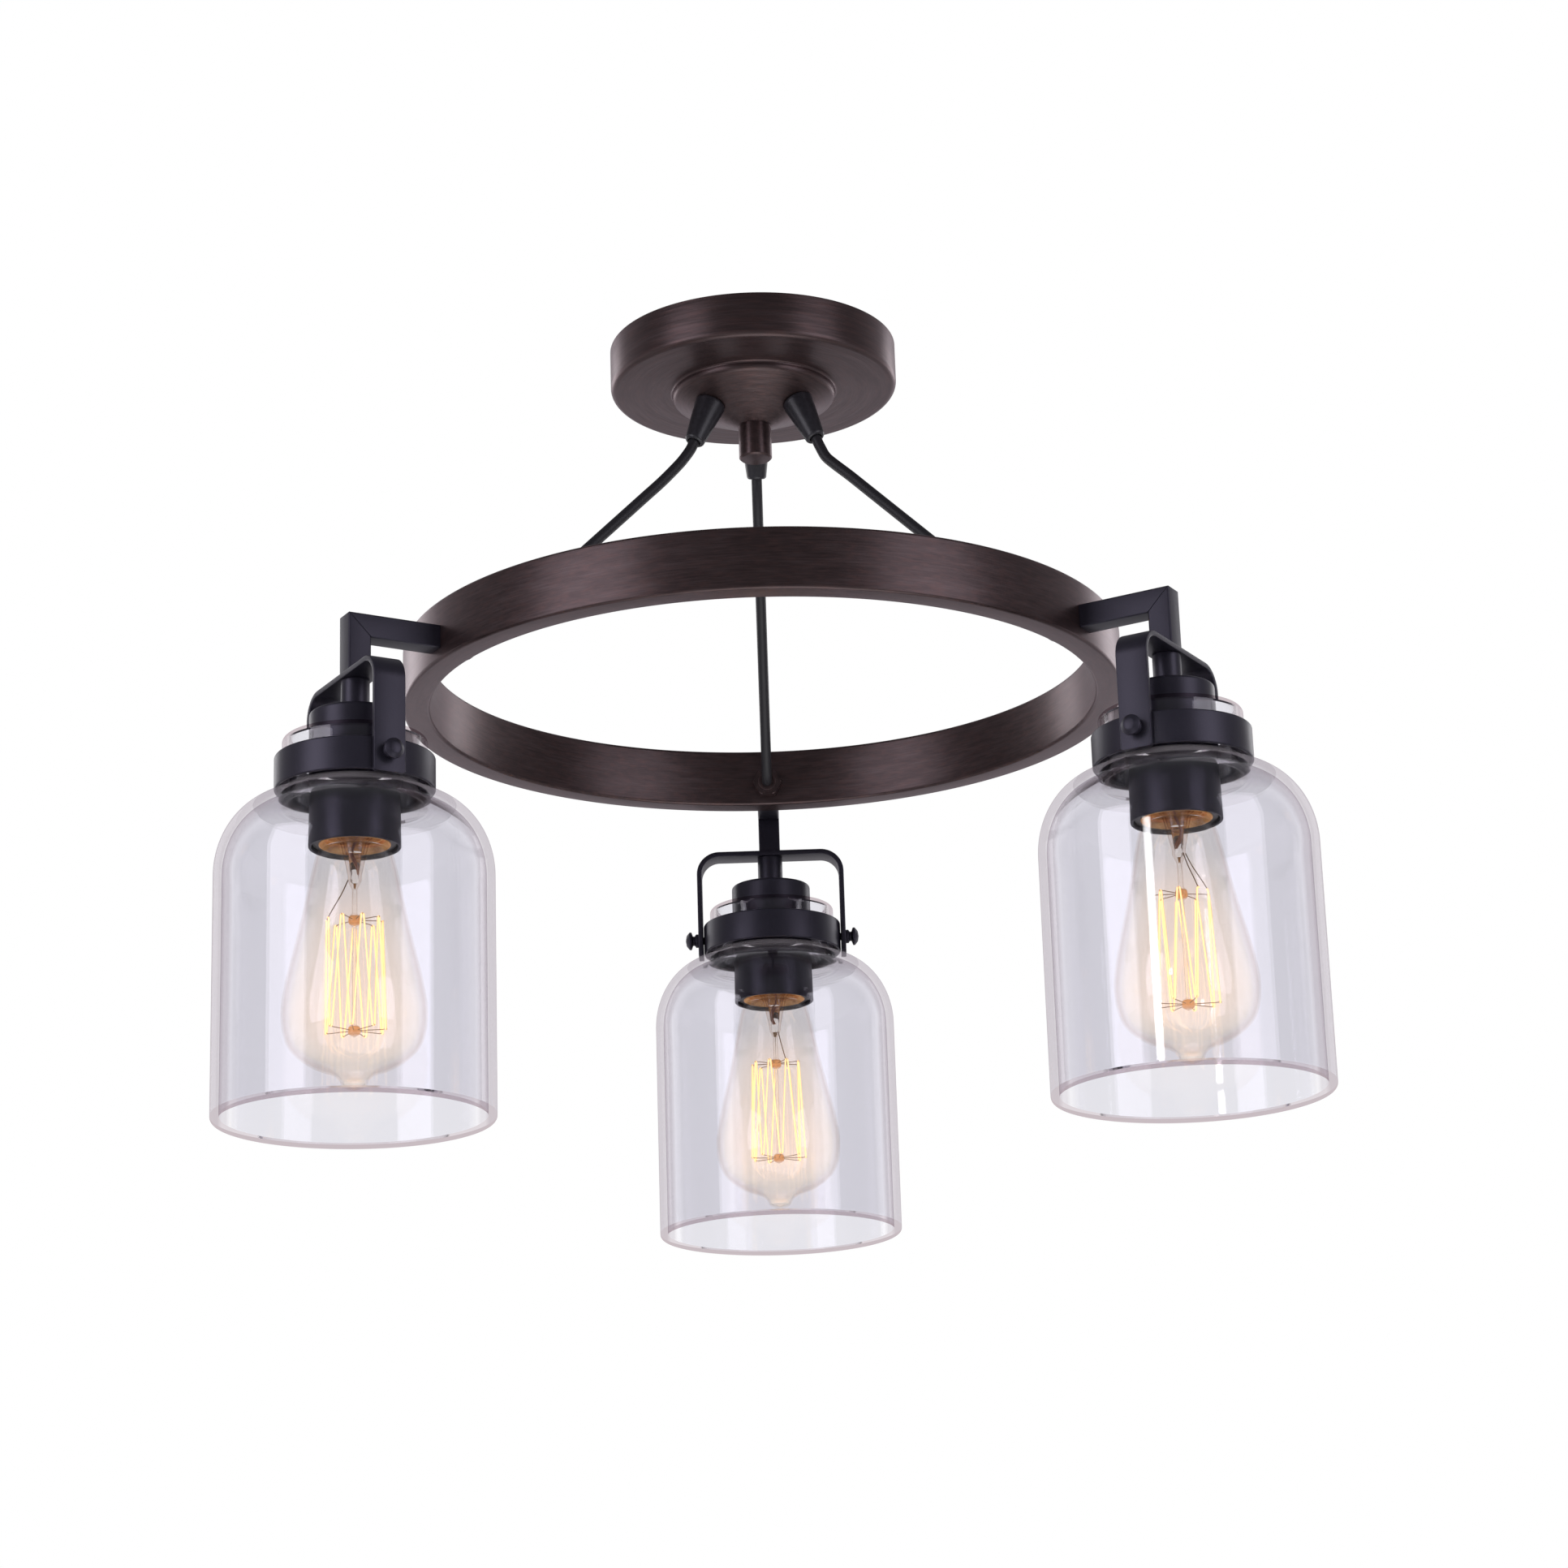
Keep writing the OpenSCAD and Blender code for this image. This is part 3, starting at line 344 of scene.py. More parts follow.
def rounded(*corners, steps=6):
    """A closed outline through (across, along, radius) corners, each rounded by its radius."""
    line = []
    for i, (x, y, radius) in enumerate(corners):
        here = Vector((x, y))
        back = (Vector(corners[i - 1][:2]) - here).normalized()
        on = (Vector(corners[(i + 1) % len(corners)][:2]) - here).normalized()
        half = back.angle(on) / 2
        if radius == 0 or half > 1.56:
            line.append(here)
            continue
        middle = here + (back + on).normalized() * radius / math.sin(half)
        start = here + back * radius / math.tan(half) - middle
        end = here + on * radius / math.tan(half) - middle
        sweep = start.angle(end)
        for k in range(steps + 1):
            near, far = math.sin((1 - k / steps) * sweep), math.sin(k / steps * sweep)
            line.append(middle + (start * near + end * far) / math.sin(sweep))
    return line


def brushed_bronze(name, around, along, turned_marks=0.0):
    """Dark brown steel, brushed round its axis and lacquered: a finish for a piece on the axis.
    Turned marks are the broader arcs that a spinning tool leaves."""
    made = Finish("bronze", {
        "Metallic": 0.8, "Specular IOR Level": 0.3, "Specular Tint": (0.92, 0.83, 0.88),
        "Anisotropic": 0.4, "Anisotropic Rotation": 0.25,
        "Coat Weight": 0.3, "Coat Roughness": 0.28,
    }, name)
    x = made.parted(made.where)
    y, z = x.also("Y"), x.also("Z")
    reach = (x * x + y * y + 1e-8) ** 0.5
    line = reach + z

    def rings(arc, pitch, detail):
        sockets = {0: x / reach * arc, 1: y / reach * arc, 2: line * pitch}
        return made.grain(made.new("ShaderNodeCombineXYZ", {}, sockets), 1.0, detail)

    fine = rings(around, along, 3)
    broad = rings(around * 0.6, along * 0.16, 2)
    red = rings(around * 2.2, along * 0.4, 2)
    brown = made.ramp(
        fine * 0.55 + broad * 0.45,
        (0.3, (0.044, 0.028, 0.028)), (0.5, (0.064, 0.042, 0.042)),
        (0.72, (0.096, 0.067, 0.068)),
    )
    warm = made.mask(red, 0.45, 0.75, 0.55)
    made.give({
        "Base Color": made.mixed(warm, brown, (0.100, 0.054, 0.050)),
        "Roughness": 0.3 + fine * 0.16,
    })
    made.bump(fine + broad * turned_marks, 0.00008, 0.6)
    return made


spun_bronze = brushed_bronze("bronze_canopy", around=3, along=1500, turned_marks=6.0)
canopy_outline = rounded(
    (70, 0, 0.3), (70, -22, 3), (40, -22, 1.3), (40, -25.773, 3.5), (8, -40.02, 0.4),
    (4.2, -40.02, 0), (4.2, -38.82, 0), (7.745, -38.82, 0.3), (38.8, -24.994, 2.3),
    (38.8, -20.8, 2.5), (68.8, -20.8, 1.8), (68.8, 0, 0.3), steps=10,
)
piece("canopy_pan", turned(canopy_outline, 256), spun_bronze, "canopy_group", ["canopy"], keen=50)


# Ceiling fixings. A slotted bar of zinc-plated steel screws to the ceiling box; the stud in its
# middle, with a locknut, carries the canopy, and a green screw takes the ground wire.
def dress(finish, *nodes):
    """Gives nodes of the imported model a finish."""
    for name in nodes:
        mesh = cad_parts[name].data
        mesh.materials.clear()
        mesh.materials.append(finish.material)


zinc = Finish("zinc_steel", {"Metallic": 1.0})
spangle = zinc.speckle(
    320, 4, dark=(0.38, 0.39, 0.41), light=(0.62, 0.63, 0.65), smooth=0.24, rougher=0.22,
)
zinc.bump(spangle, 0.00005, 0.3)
green = Finish("green_steel", {"Metallic": 0.6})
green.speckle(
    500, 3, dark=(0.012, 0.12, 0.035), light=(0.03, 0.22, 0.07), smooth=0.3, rougher=0.2,
    start=0.35,
)
dress(zinc, "mounting_bar", "center_stud", "stud_locknut", "grip_locknuts")
dress(green, "ground_screw")


# Splices. Two screw-on connectors of amber plastic lie on the pan, and six insulated conductors,
# black and white, join them to the ends of the cords.
connector_plastic = Finish("connector_plastic", {"Coat Weight": 0.2})
connector_plastic.speckle(
    260, 3, dark=(0.55, 0.24, 0.02), light=(0.68, 0.33, 0.035), smooth=0.36, rougher=0.14,
)
insulation = Finish("wire_insulation", {"Specular IOR Level": 0.5})
insulation.speckle(
    900, 2, dark=(0.70, 0.69, 0.66), light=(0.80, 0.79, 0.76), smooth=0.34, rougher=0.12,
)
dark_insulation = Finish("wire_insulation", {"Specular IOR Level": 0.5}, "wire_insulation_dark")
dark_insulation.speckle(
    900, 2, dark=(0.012, 0.012, 0.013), light=(0.022, 0.022, 0.024), smooth=0.36, rougher=0.14,
)
conductor_r = 1.1
left_routes = [
    [(1.25, 19.24, -20.83), (1.3, 18, -18.1), (2.4, 17.6, -15.9), (6, 18, -14), (14, 18, -13),
     (26, 17.5, -13), (36.4, 22.9, -14.2), (47, 28.6, -14.7)],
    [(17.29, -8.54, -20.83), (16.23, -7.93, -18.1), (17.3, -6, -15.6), (20.5, -1.5, -13.8),
     (25, 5, -13.5), (31, 12.5, -13.5), (38, 20.1, -14.2), (48.2, 26.4, -14.7)],
]
crossing_routes = [
    [(-16.04, -10.7, -20.83), (-14.98, -10.09, -18.1), (-11.5, -11, -14.8), (2, -12, -12.5),
     (17, -1, -10.5), (28, 11, -10.3), (37.2, 21.5, -11.9), (47.6, 27.5, -12.5)],
    [(16.04, -10.7, -20.83), (14.98, -10.09, -18.1), (11.5, -9.6, -16.2), (0, -8.8, -16),
     (-14, -2, -11.5), (-28, 11, -10.3), (-37.2, 21.5, -11.9), (-47.6, 27.5, -12.5)],
]
right_routes = [[(-x, y, z) for x, y, z in route] for route in left_routes]
for colour, finish, routes in (
    ("black", dark_insulation, left_routes + crossing_routes[:1]),
    ("white", insulation, right_routes + crossing_routes[1:]),
):
    conductors = together(*[tube(flowing(route, 6), conductor_r, 14) for route in routes])
    piece(f"wires_{colour}", conductors, finish, "canopy_group", ["splice_wires"])
dress(connector_plastic, "wire_connectors")


# Finial. A turned cap nut on the stud, which presses the canopy to the ceiling; bronze as the
# canopy, with a chamfer at its lower edge.
finial_bronze = brushed_bronze("bronze_finial", around=3, along=1800)
finial_outline = rounded(
    (4.05, -40.02, 0), (8, -40.02, 0.25), (8, -56.52, 0.25), (7.2, -57.32, 0.25), (0, -57.32, 0),
    (0, -53.02, 0), (4.05, -53.02, 0),
)
piece("finial_cap", turned(finial_outline, 96), finial_bronze, "finial", ["finial"])


# Cord grips. Three black plastic cones stand square on the boss, at 120 degrees. Each holds its
# cord, and a threaded shank goes through the canopy to a locknut inside.
class Grower(Nodes):
    """A geometry tree with named inputs, which ends in Realize Instances and Set Material."""

    def __init__(self, name, **sizes):
        super().__init__(bpy.data.node_groups.new(name, "GeometryNodeTree"))
        self.sizes = {}
        face = self.tree.interface
        face.new_socket("Geometry", in_out="OUTPUT", socket_type="NodeSocketGeometry")
        face.new_socket("Geometry", in_out="INPUT", socket_type="NodeSocketGeometry")
        for size, kind in {**sizes, "Finish": "Material"}.items():
            slot = face.new_socket(size, in_out="INPUT", socket_type="NodeSocket" + kind)
            self.sizes[size] = slot.identifier
        self.inlet = self.new("NodeGroupInput")

    def end(self, shape):
        real = self.new("GeometryNodeRealizeInstances", {}, {0: shape})
        done = self.new("GeometryNodeSetMaterial", {}, {
            "Geometry": real, "Material": self.inlet.also("Finish"),
        })
        outlet = self.tree.nodes.new("NodeGroupOutput")
        self.tree.links.new(done.output, outlet.inputs[0])

    def grow(self, shape, finish, **sizes):
        """The points and faces that the tree makes of a shape, given its sizes."""
        mesh = bpy.data.meshes.new("seed")
        mesh.from_pydata([Vector(p) for p in shape[0]], [], shape[1])
        seed = bpy.data.objects.new("seed", mesh)
        bpy.context.scene.collection.objects.link(seed)
        modifier = seed.modifiers.new("grow", "NODES")
        modifier.node_group = self.tree
        modifier[self.sizes["Finish"]] = finish.material
        for size, value in sizes.items():
            modifier[self.sizes[size]] = value
        depsgraph = bpy.context.evaluated_depsgraph_get()
        grown = bpy.data.meshes.new_from_object(seed.evaluated_get(depsgraph))
        points = [v.co.copy() for v in grown.vertices]
        faces = [tuple(p.vertices) for p in grown.polygons]
        seed.modifiers.remove(modifier)
        bpy.data.objects.remove(seed)
        bpy.data.meshes.remove(grown)
        bpy.data.meshes.remove(mesh)
        return points, faces


# Copies of one piece, turned by equal steps round the upright axis.
copies = Grower("copies_round_the_axis", Copies="Int", Step="Float")
spots = copies.new("GeometryNodeMeshLine", {"mode": "OFFSET"}, {
    "Count": copies.inlet.also("Copies"), "Offset": (0, 0, 0),
})
turn = copies.new("GeometryNodeInputIndex") * copies.inlet.also("Step")
copies.end(copies.new("GeometryNodeInstanceOnPoints", {}, {
    "Points": spots, "Instance": copies.inlet,
    "Rotation": copies.new("ShaderNodeCombineXYZ", {}, {2: turn}),
}))
third = math.radians(120)

grip_plastic = Finish("grip_plastic", {"Specular IOR Level": 0.5})
mottle = grip_plastic.speckle(
    700, 3, dark=(0.011, 0.010, 0.013), light=(0.019, 0.018, 0.023), smooth=0.3, rougher=0.14,
)
grip_plastic.bump(mottle, 0.00004, 0.4)
boss_slope = math.radians(24)
grip_place = (
    Matrix.Rotation(light_angle(1), 4, "Z") @ Matrix.Translation((24.5, 0, -32.67))
    @ Matrix.Rotation(math.pi - boss_slope, 4, "Y")
)
grip_outline = rounded(
    (3, -9, 0), (4.9, -9, 0.4), (4.9, 0, 0), (7.5, 0, 0.25), (7.5, 1.2, 0.7), (4.9, 21.8, 1.2),
    (4.7, 23.6, 1.5), (3, 23.6, 0.4), steps=8,
)
grip = moved(turned(grip_outline, 96), grip_place)
grips = copies.grow(grip, grip_plastic, Copies=3, Step=third)
piece("cord_grip_cones", grips, grip_plastic, "canopy_group", ["cord_grips"])


# Ring. A rectangular tube of steel, rolled to 343 mm and brushed along its length, with softly
# rounded long edges. It hangs from the three cords.
ring_bronze = brushed_bronze("bronze_ring", around=14, along=1600)
ring_outline = rounded(
    (171.5, -157, 1.5), (171.5, -186, 1.5), (158.8, -186, 1.5), (158.8, -157, 1.5), steps=8,
)
piece("ring_tube", turned(ring_outline, 360), ring_bronze, "ring_group", ["ring"])


# Hollow bolts. Each has a chamfered hexagonal head inside the ring, which seats a cord, and a
# threaded shank through the ring into its arm.
def lofted(rings):
    """A closed skin over rings of points that correspond, with flat ends."""
    count = len(rings[0])
    points = [Vector(p) for ring in rings for p in ring]
    faces = [tuple(range(count))[::-1], tuple(range(len(points) - count, len(points)))]
    for i in range(len(rings) - 1):
        for k in range(count):
            a, b = i * count + k, i * count + (k + 1) % count
            faces.append((a, b, b + count, a + count))
    return points, faces


def hexagon(across, low, high, chamfer, sides=72):
    """A hexagonal bar between two heights, with its lower corners cut back by a chamfer."""
    corner = across / math.sqrt(3)
    sixth = math.pi / 3
    rings = []
    for reach, height in (
        (corner * 0.9, low), (corner * 0.955, low + chamfer * 0.35), (corner, low + chamfer),
        (corner, high),
    ):
        ring = []
        for k in range(sides):
            turn = 2 * math.pi * k / sides
            flat = across / 2 / math.cos((turn + sixth / 2) % sixth - sixth / 2)
            radius = min(flat, reach)
            ring.append((radius * math.cos(turn), radius * math.sin(turn), height))
        rings.append(ring)
    return lofted(rings)


bolt_bronze = brushed_bronze("bronze_bolts", around=60, along=300)
ring_inside, mid_z = 158.597, -175
bolt_place = (
    Matrix.Rotation(light_angle(1), 4, "Z") @ Matrix.Translation((ring_inside, 0, mid_z))
    @ Matrix.Rotation(math.pi / 2, 4, "Y")
)
bolt = together(
    hexagon(across=13.2, low=-5, high=0, chamfer=0.9),
    turned(rounded((2.3, 0.1, 0), (3.5, 0.1, 0), (3.5, 20.8, 0.4), (2.3, 20.8, 0)), 48),
    turned(rounded((3.2, -5.25, 0.15), (4.6, -5.25, 0.2), (4.6, -4.9, 0), (3.2, -4.9, 0)), 48),
)
bolts = copies.grow(moved(bolt, bolt_place), bolt_bronze, Copies=3, Step=third)
piece("hollow_bolt_heads", bolts, bolt_bronze, "ring_group", ["hollow_bolts"], keen=28)


# Arms. Square steel tube, 11 mm on a side, sawn at 45 degrees, welded at the corner and powder
# coated satin black, with a fine line left where the mitre was dressed.
satin_black = Finish("satin_black", {
    "Specular IOR Level": 0.55, "Specular Tint": (0.85, 0.8, 1.0),
})
powder = satin_black.grain(satin_black.where, 1500, 2)
drift = satin_black.grain(satin_black.where, 60, 3)
satin_black.give({
    "Base Color": satin_black.ramp(
        powder * 0.5 + drift * 0.5, (0.3, (0.009, 0.008, 0.013)), (0.7, (0.015, 0.014, 0.021)),
    ),
    "Roughness": 0.3 + powder * 0.12 + drift * 0.08,
})
satin_black.bump(powder, 0.00006, 0.45)


def oblong(wide, high, corner, steps):
    """A ring round an oblong with rounded corners, in its own plane."""
    x, y = wide / 2, high / 2
    return rounded((x, y, corner), (-x, y, corner), (-x, -y, corner), (x, -y, corner), steps=steps)


light_reach = 211


def at_light(n):
    return Matrix.Rotation(light_angle(n), 4, "Z") @ Matrix.Translation((light_reach, 0, 0))


arm_side, arm_corner = 11, 0.8
arm_start, arm_foot = -39.5, -198
tube_end = oblong(arm_side, arm_side, arm_corner, 5)
arm_rings = [[(arm_start, u, v + mid_z) for u, v in tube_end]]
for less, back, down in (
    (0, 0.35, 0), (0.3, 0.12, 0), (0.45, 0, 0), (0.3, 0, 0.12), (0, 0, 0.35),
):
    mitre = oblong(arm_side - less, arm_side - less, arm_corner, 5)
    arm_rings.append([(v - back, u, v + mid_z - down) for u, v in mitre])
arm_rings.append([(v, u, arm_foot) for u, v in tube_end])
arm_shape = lofted(arm_rings)
for n in (1, 2, 3):
    piece(f"arm_{n}_tube", arm_shape, satin_black, "ring_group", [f"arm_{n}"], at_light(n), keen=25)
dress(zinc, "arm_plugs", "lamp_nipples", "cup_locknuts")
dress(insulation, "arm_leads")


# Bails. Flat steel strap, 15 by 2.5 mm, bent to a U over each light and powder coated; the ends
# of its legs have rounded corners, and its long edges are eased.
strap_wide, strap_thick, end_r = 15, 2.5, 1.5
leg_x, bow_z, bow_r, ends_z = 37.55, -199.25, 10.75, -254
end_rises = (0, 0.12, 0.35, 0.7, 1.1, 1.5)
bow = rounded(
    (-leg_x, ends_z, 0), (-leg_x, bow_z, bow_r), (leg_x, bow_z, bow_r), (leg_x, ends_z, 0),
    steps=14,
)
bail_line = [Vector((-leg_x, ends_z + rise)) for rise in end_rises] + bow[1:-1]
bail_line += [Vector((leg_x, ends_z + rise)) for rise in end_rises[::-1]]
bail_rings = []
for i, here in enumerate(bail_line):
    run = (bail_line[min(i + 1, len(bail_line) - 1)] - bail_line[max(i - 1, 0)]).normalized()
    out = Vector((-run.y, run.x))
    from_end = min(here.y - ends_z, end_r)
    rounding = math.sqrt(max(end_r ** 2 - (end_r - from_end) ** 2, 0.01))
    thick = strap_thick if from_end > 0.1 else strap_thick - 0.6
    section = oblong(strap_wide - 2 * end_r + 2 * rounding, thick, 0.4, 3)
    bail_rings.append([(u, here.x + out.x * v, here.y + out.y * v) for u, v in section])
bail_shape = lofted(bail_rings)
for n in (1, 2, 3):
    piece(f"bail_{n}_strap", bail_shape, satin_black, "ring_group", [f"bail_{n}"], at_light(n))


# Couplings and socket cups. A round spacer and a deep-drawn cup hang under each bail on a hollow
# thread; both are satin black, and the cup holds the lampholder.
coupling = turned(rounded(
    (3.7, -200.5, 0), (6.5, -200.5, 0.45), (6.5, -216.2, 0.45), (3.7, -216.2, 0),
), 72)
coupling = moved(coupling, at_light(1))
couplings = copies.grow(coupling, satin_black, Copies=3, Step=third)
piece("coupling_spacers", couplings, satin_black, "ring_group", ["couplings"])
cup_outline = rounded(
    (3.7, -216.2, 0), (20.6, -216.2, 1.6), (20.6, -279, 0.5), (19.2, -279, 0.5),
    (19.2, -217.6, 0.5), (3.7, -217.6, 0), steps=8,
)
for n in (1, 2, 3):
    piece(f"socket_cup_{n}_shell", turned(cup_outline, 128), satin_black, "ring_group",
          [f"socket_cup_{n}"], at_light(n))


# Neck bands and thumbscrews. A rolled hoop goes round each glass neck, and two thumbscrews with
# a collar, a waist and a domed head go through the bail's ears and bear on the glass.
band_outline = rounded(
    (34.7, -237.2, 0.3), (36, -237.2, 0.85), (36, -252.5, 0.85), (34.7, -252.5, 0.3), steps=8,
)
screw_outline = rounded(
    (0, -6, 0), (1.5, -6, 0), (2, -5.5, 0), (2, 0, 0), (3.57, 0, 0.2), (3.57, 1.36, 0.4),
    (2.49, 2.04, 0.3), (2.49, 2.95, 0.3), (4.7, 3.7, 0.45), (4.7, 4.75, 0.6), (2.7, 6.35, 1.5),
    (0, 6.8, 0), steps=6,
)
ear_x, screw_z = 38.85, -244.5
for n in (1, 2, 3):
    piece(f"neck_band_{n}_hoop", turned(band_outline, 160), satin_black, "ring_group",
          [f"neck_band_{n}"], at_light(n))
    for side, mark in ((1, "a"), (-1, "b")):
        ear = (
            at_light(n) @ Matrix.Translation((0, 0, screw_z))
            @ Matrix.Rotation(side * math.pi / 2, 4, "Z") @ Matrix.Translation((ear_x, 0, 0))
            @ Matrix.Rotation(math.pi / 2, 4, "Y")
        )
        name = f"thumbscrew_{n}{mark}"
        piece(name + "_head", turned(screw_outline, 64), satin_black, name, [name], ear)


# Lampholders. A dark ceramic body fills each cup, with a rolled brass screw shell and a sprung
# brass contact at its head.
ceramic = Finish("holder_plastic", {"Coat Weight": 0.25, "Coat Roughness": 0.2})
ceramic.speckle(
    420, 3, dark=(0.020, 0.018, 0.017), light=(0.034, 0.031, 0.029), smooth=0.34, rougher=0.16,
)
dull_brass, bright_brass = (0.52, 0.30, 0.10), (0.74, 0.50, 0.21)
brass = Finish("brass", {"Metallic": 1.0})
brass.speckle(220, 4, dark=dull_brass, light=bright_brass, smooth=0.22, rougher=0.2)
# Painted glow: below 0.264 m down, near the cup's mouth, the brass emits a warm orange that stands
# in for the filament's light on the screw shells and caps; the same mottle gives the brass its own
# tone.
lit_brass = Finish("brass", {
    "Metallic": 1.0, "Emission Strength": 0.2,
}, "brass_lit_by_the_filament")
patina_and_glow_mottle = lit_brass.speckle(260, 4, dark=dull_brass, light=bright_brass, smooth=0.22, rougher=0.2)
near_mouth = lit_brass.mask((-0.264 - lit_brass.height()) / 0.008, 0.0, 1.0)
warm = lit_brass.ramp(patina_and_glow_mottle, (0.38, (0.62, 0.24, 0.08)), (0.6, (1.0, 0.46, 0.18)))
lit_brass.give({"Emission Color": lit_brass.mixed(near_mouth, (0, 0, 0), warm)})
dress(brass, "center_contacts")
holder_outline = rounded(
    (3.55, -220.6, 0), (7, -220.6, 0.3), (7, -223.6, 0.3), (17.85, -223.6, 1), (18.85, -277.5, 0.5),
    (16.05, -277.5, 0.1), (14.45, -275.9, 0.2), (14.45, -247.2, 0), (0, -247.2, 0), (0, -226.6, 0),
    (3.55, -226.6, 0),
)

# A thread rolled into thin brass: points between two heights move out and in by a helix.
thread = Grower("rolled_thread", Depth="Float", Pitch="Float", Low="Float", High="Float")
asked = thread.inlet.also
spot = thread.parted(thread.new("GeometryNodeInputPosition"))
spot_y, spot_z = spot.also("Y"), spot.also("Z")
reach = (spot * spot + spot_y * spot_y) ** 0.5
wave = (spot_z * (2 * math.pi) / asked("Pitch") - spot_y.maths("ARCTAN2", spot_y, spot)).cosine()
rolled = spot_z.above(asked("Low")) * spot_z.below(asked("High"))
push = wave * asked("Depth") * 0.5 * rolled / reach
offset = thread.new("ShaderNodeCombineXYZ", {}, {0: spot * push, 1: spot_y * push})
thread.end(thread.new("GeometryNodeSetPosition", {}, {"Geometry": thread.inlet, "Offset": offset}))

crest, pitch = 0.6, 3.63
shell_r, shell_wall, shell_foot, shell_top, rows = 13.7, 0.4, -275.4, -250.2, 90
heights = [shell_foot + (shell_top - shell_foot) * i / rows for i in range(rows + 1)]
shell = turned(
    [(shell_r, z) for z in heights] + [(shell_r + shell_wall, z) for z in reversed(heights)], 96,
)
shell = thread.grow(
    shell, brass, Depth=crest, Pitch=pitch, Low=shell_foot + 0.7, High=shell_top - 0.7,
)
shell_lip = turned(rounded(
    (13.75, -275.3, 0), (14.2, -275.3, 0.1), (15.95, -277.35, 0.2), (16.1, -277.9, 0.2),
    (15.6, -277.9, 0.2), (15.4, -277.4, 0.3),
), 96)
shell = together(shell, shell_lip)
shells = copies.grow(moved(shell, at_light(1)), brass, Copies=3, Step=third)
piece("screw_shells_threaded", shells, lit_brass, "ring_group", ["screw_shells"], keen=60)
for n in (1, 2, 3):
    piece(f"lampholder_{n}_body", turned(holder_outline, 96), ceramic, "ring_group",
          [f"lampholder_{n}"], at_light(n))


# Glass shades. Clear moulded glass, 3.9 mm thick, in the shape of a jar: a straight neck, a
# rounded shoulder and a straight body that is open below, with fire-polished rims.
def glass(slot, clear, slanting, edge, starts, rim=None, rims=(), corner=()):
    """Clear glass whose slanting faces let more light straight through, in a tint that deepens to
    the edge colour where a face is seen on edge: partly the glass's own tint over a longer way
    through it, and partly painted shade for the dark outlines of real glass. It never traps light
    in
    its wall. Beyond the rims' heights, in metres, light passes straight through in the rim colour:
    the glass's tint seen along the wall, and painted light in place of what the wall carries to its
    fire-polished edges. Between the corner's two heights, where the wall is thick, a pale band is
    mixed in, a painted sheen for the light that the corner bends."""
    made = Finish(slot, {
        "Transmission Weight": 1.0, "IOR": 1.5, "Roughness": 0.0, "Base Color": clear,
    })
    facing = made.facing()
    leaving = made.new("ShaderNodeNewGeometry", output="Backfacing")
    entering = made.mask(facing, starts, starts + 0.14, 0.93)
    trapped = made.mask(facing, 0.25, 0.27)
    share = entering * (1 - leaving) + trapped * leaving
    pale = made.new("ShaderNodeBsdfTransparent", {}, {"Color": slanting})
    # Partly the glass's own deeper tint and partly painted shade: where a face is seen on edge,
    # light passes in the edge colour.
    deep_tint_and_edge_shade = made.new("ShaderNodeBsdfTransparent", {}, {"Color": edge})
    half = (0.5, 0.5, 0.5)
    on_edge = made.ramp(facing, (0.6, (0, 0, 0)), (0.68, half), (0.91, half), (0.98, (1, 1, 1)))
    shown = made.blended(share, made.lit, made.blended(on_edge, pale, deep_tint_and_edge_shade))
    if rims:
        height = made.height()
        at_rims = height.below(rims[0]) + height.above(rims[1])
        # Partly the glass's own tint seen along the wall and partly painted light: beyond the rims'
        # heights light passes straight through in the rim colour, in place of the light the wall
        # carries there.
        rim_tint_and_painted_light = made.new("ShaderNodeBsdfTransparent", {}, {"Color": rim})
        shown = made.blended(at_rims, shown, rim_tint_and_painted_light)
        # Painted sheen: between the corner's heights a pale, partly diffuse band is mixed in,
        # standing in for the light that the thick hollow corner bends.
        at_corner = height.above(corner[0]) * height.below(corner[1])
        painted_corner_sheen = made.new("ShaderNodeBsdfPrincipled", {}, {
            "Base Color": (0.78, 0.73, 0.74), "Transmission Weight": 0.6, "Roughness": 0.25,
            "IOR": 1.5,
        })
        shown = made.blended(at_corner * 0.35, shown, painted_corner_sheen)
    outlet = made.tree.nodes["Material Output"]
    made.tree.links.new(shown.output, outlet.inputs["Surface"])
    return made


clear_glass = glass(
    "clear_glass", clear=(0.86, 0.852, 0.888), slanting=(0.97, 0.965, 0.98),
    edge=(0.63, 0.585, 0.62), starts=0.48,
    rim=(0.76, 0.71, 0.73), rims=(-0.3999, -0.2307), corner=(-0.2594, -0.2527),
)
neck_r, body_r, wall = 32.5, 62.25, 3.9
neck_top, shoulder_z, shade_foot = -228.4, -292, -402.3
shoulder_h, corner_r = 36, 3
neck_wall, body_wall = (-231, -252), (-293, -399.6)


def arc(x, y, wide, high, start, end, steps):
    """Points on an ellipse round (x, y), from one angle to another in degrees."""
    turns = [math.radians(start + (end - start) * k / steps) for k in range(steps + 1)]
    return [(x + wide * math.cos(turn), y + high * math.sin(turn)) for turn in turns]


def jar(inset):
    """The line from the neck over the hollow corner and the rounded shoulder, set in by a depth."""
    hollow = corner_r + inset
    wide, high = body_r - neck_r - inset, shoulder_h - inset
    corner_z = shoulder_z + shoulder_h + corner_r
    first = math.degrees(math.acos(corner_r / wide))
    return (
        arc(neck_r + corner_r, corner_z, hollow, hollow, 180, 270, 12)
        + arc(neck_r, shoulder_z, wide, high, first, 0, 48)[1:]
    )


def lip(radius, height, start, end):
    return arc(radius, height, wall / 2, wall / 2, start, end, 14)


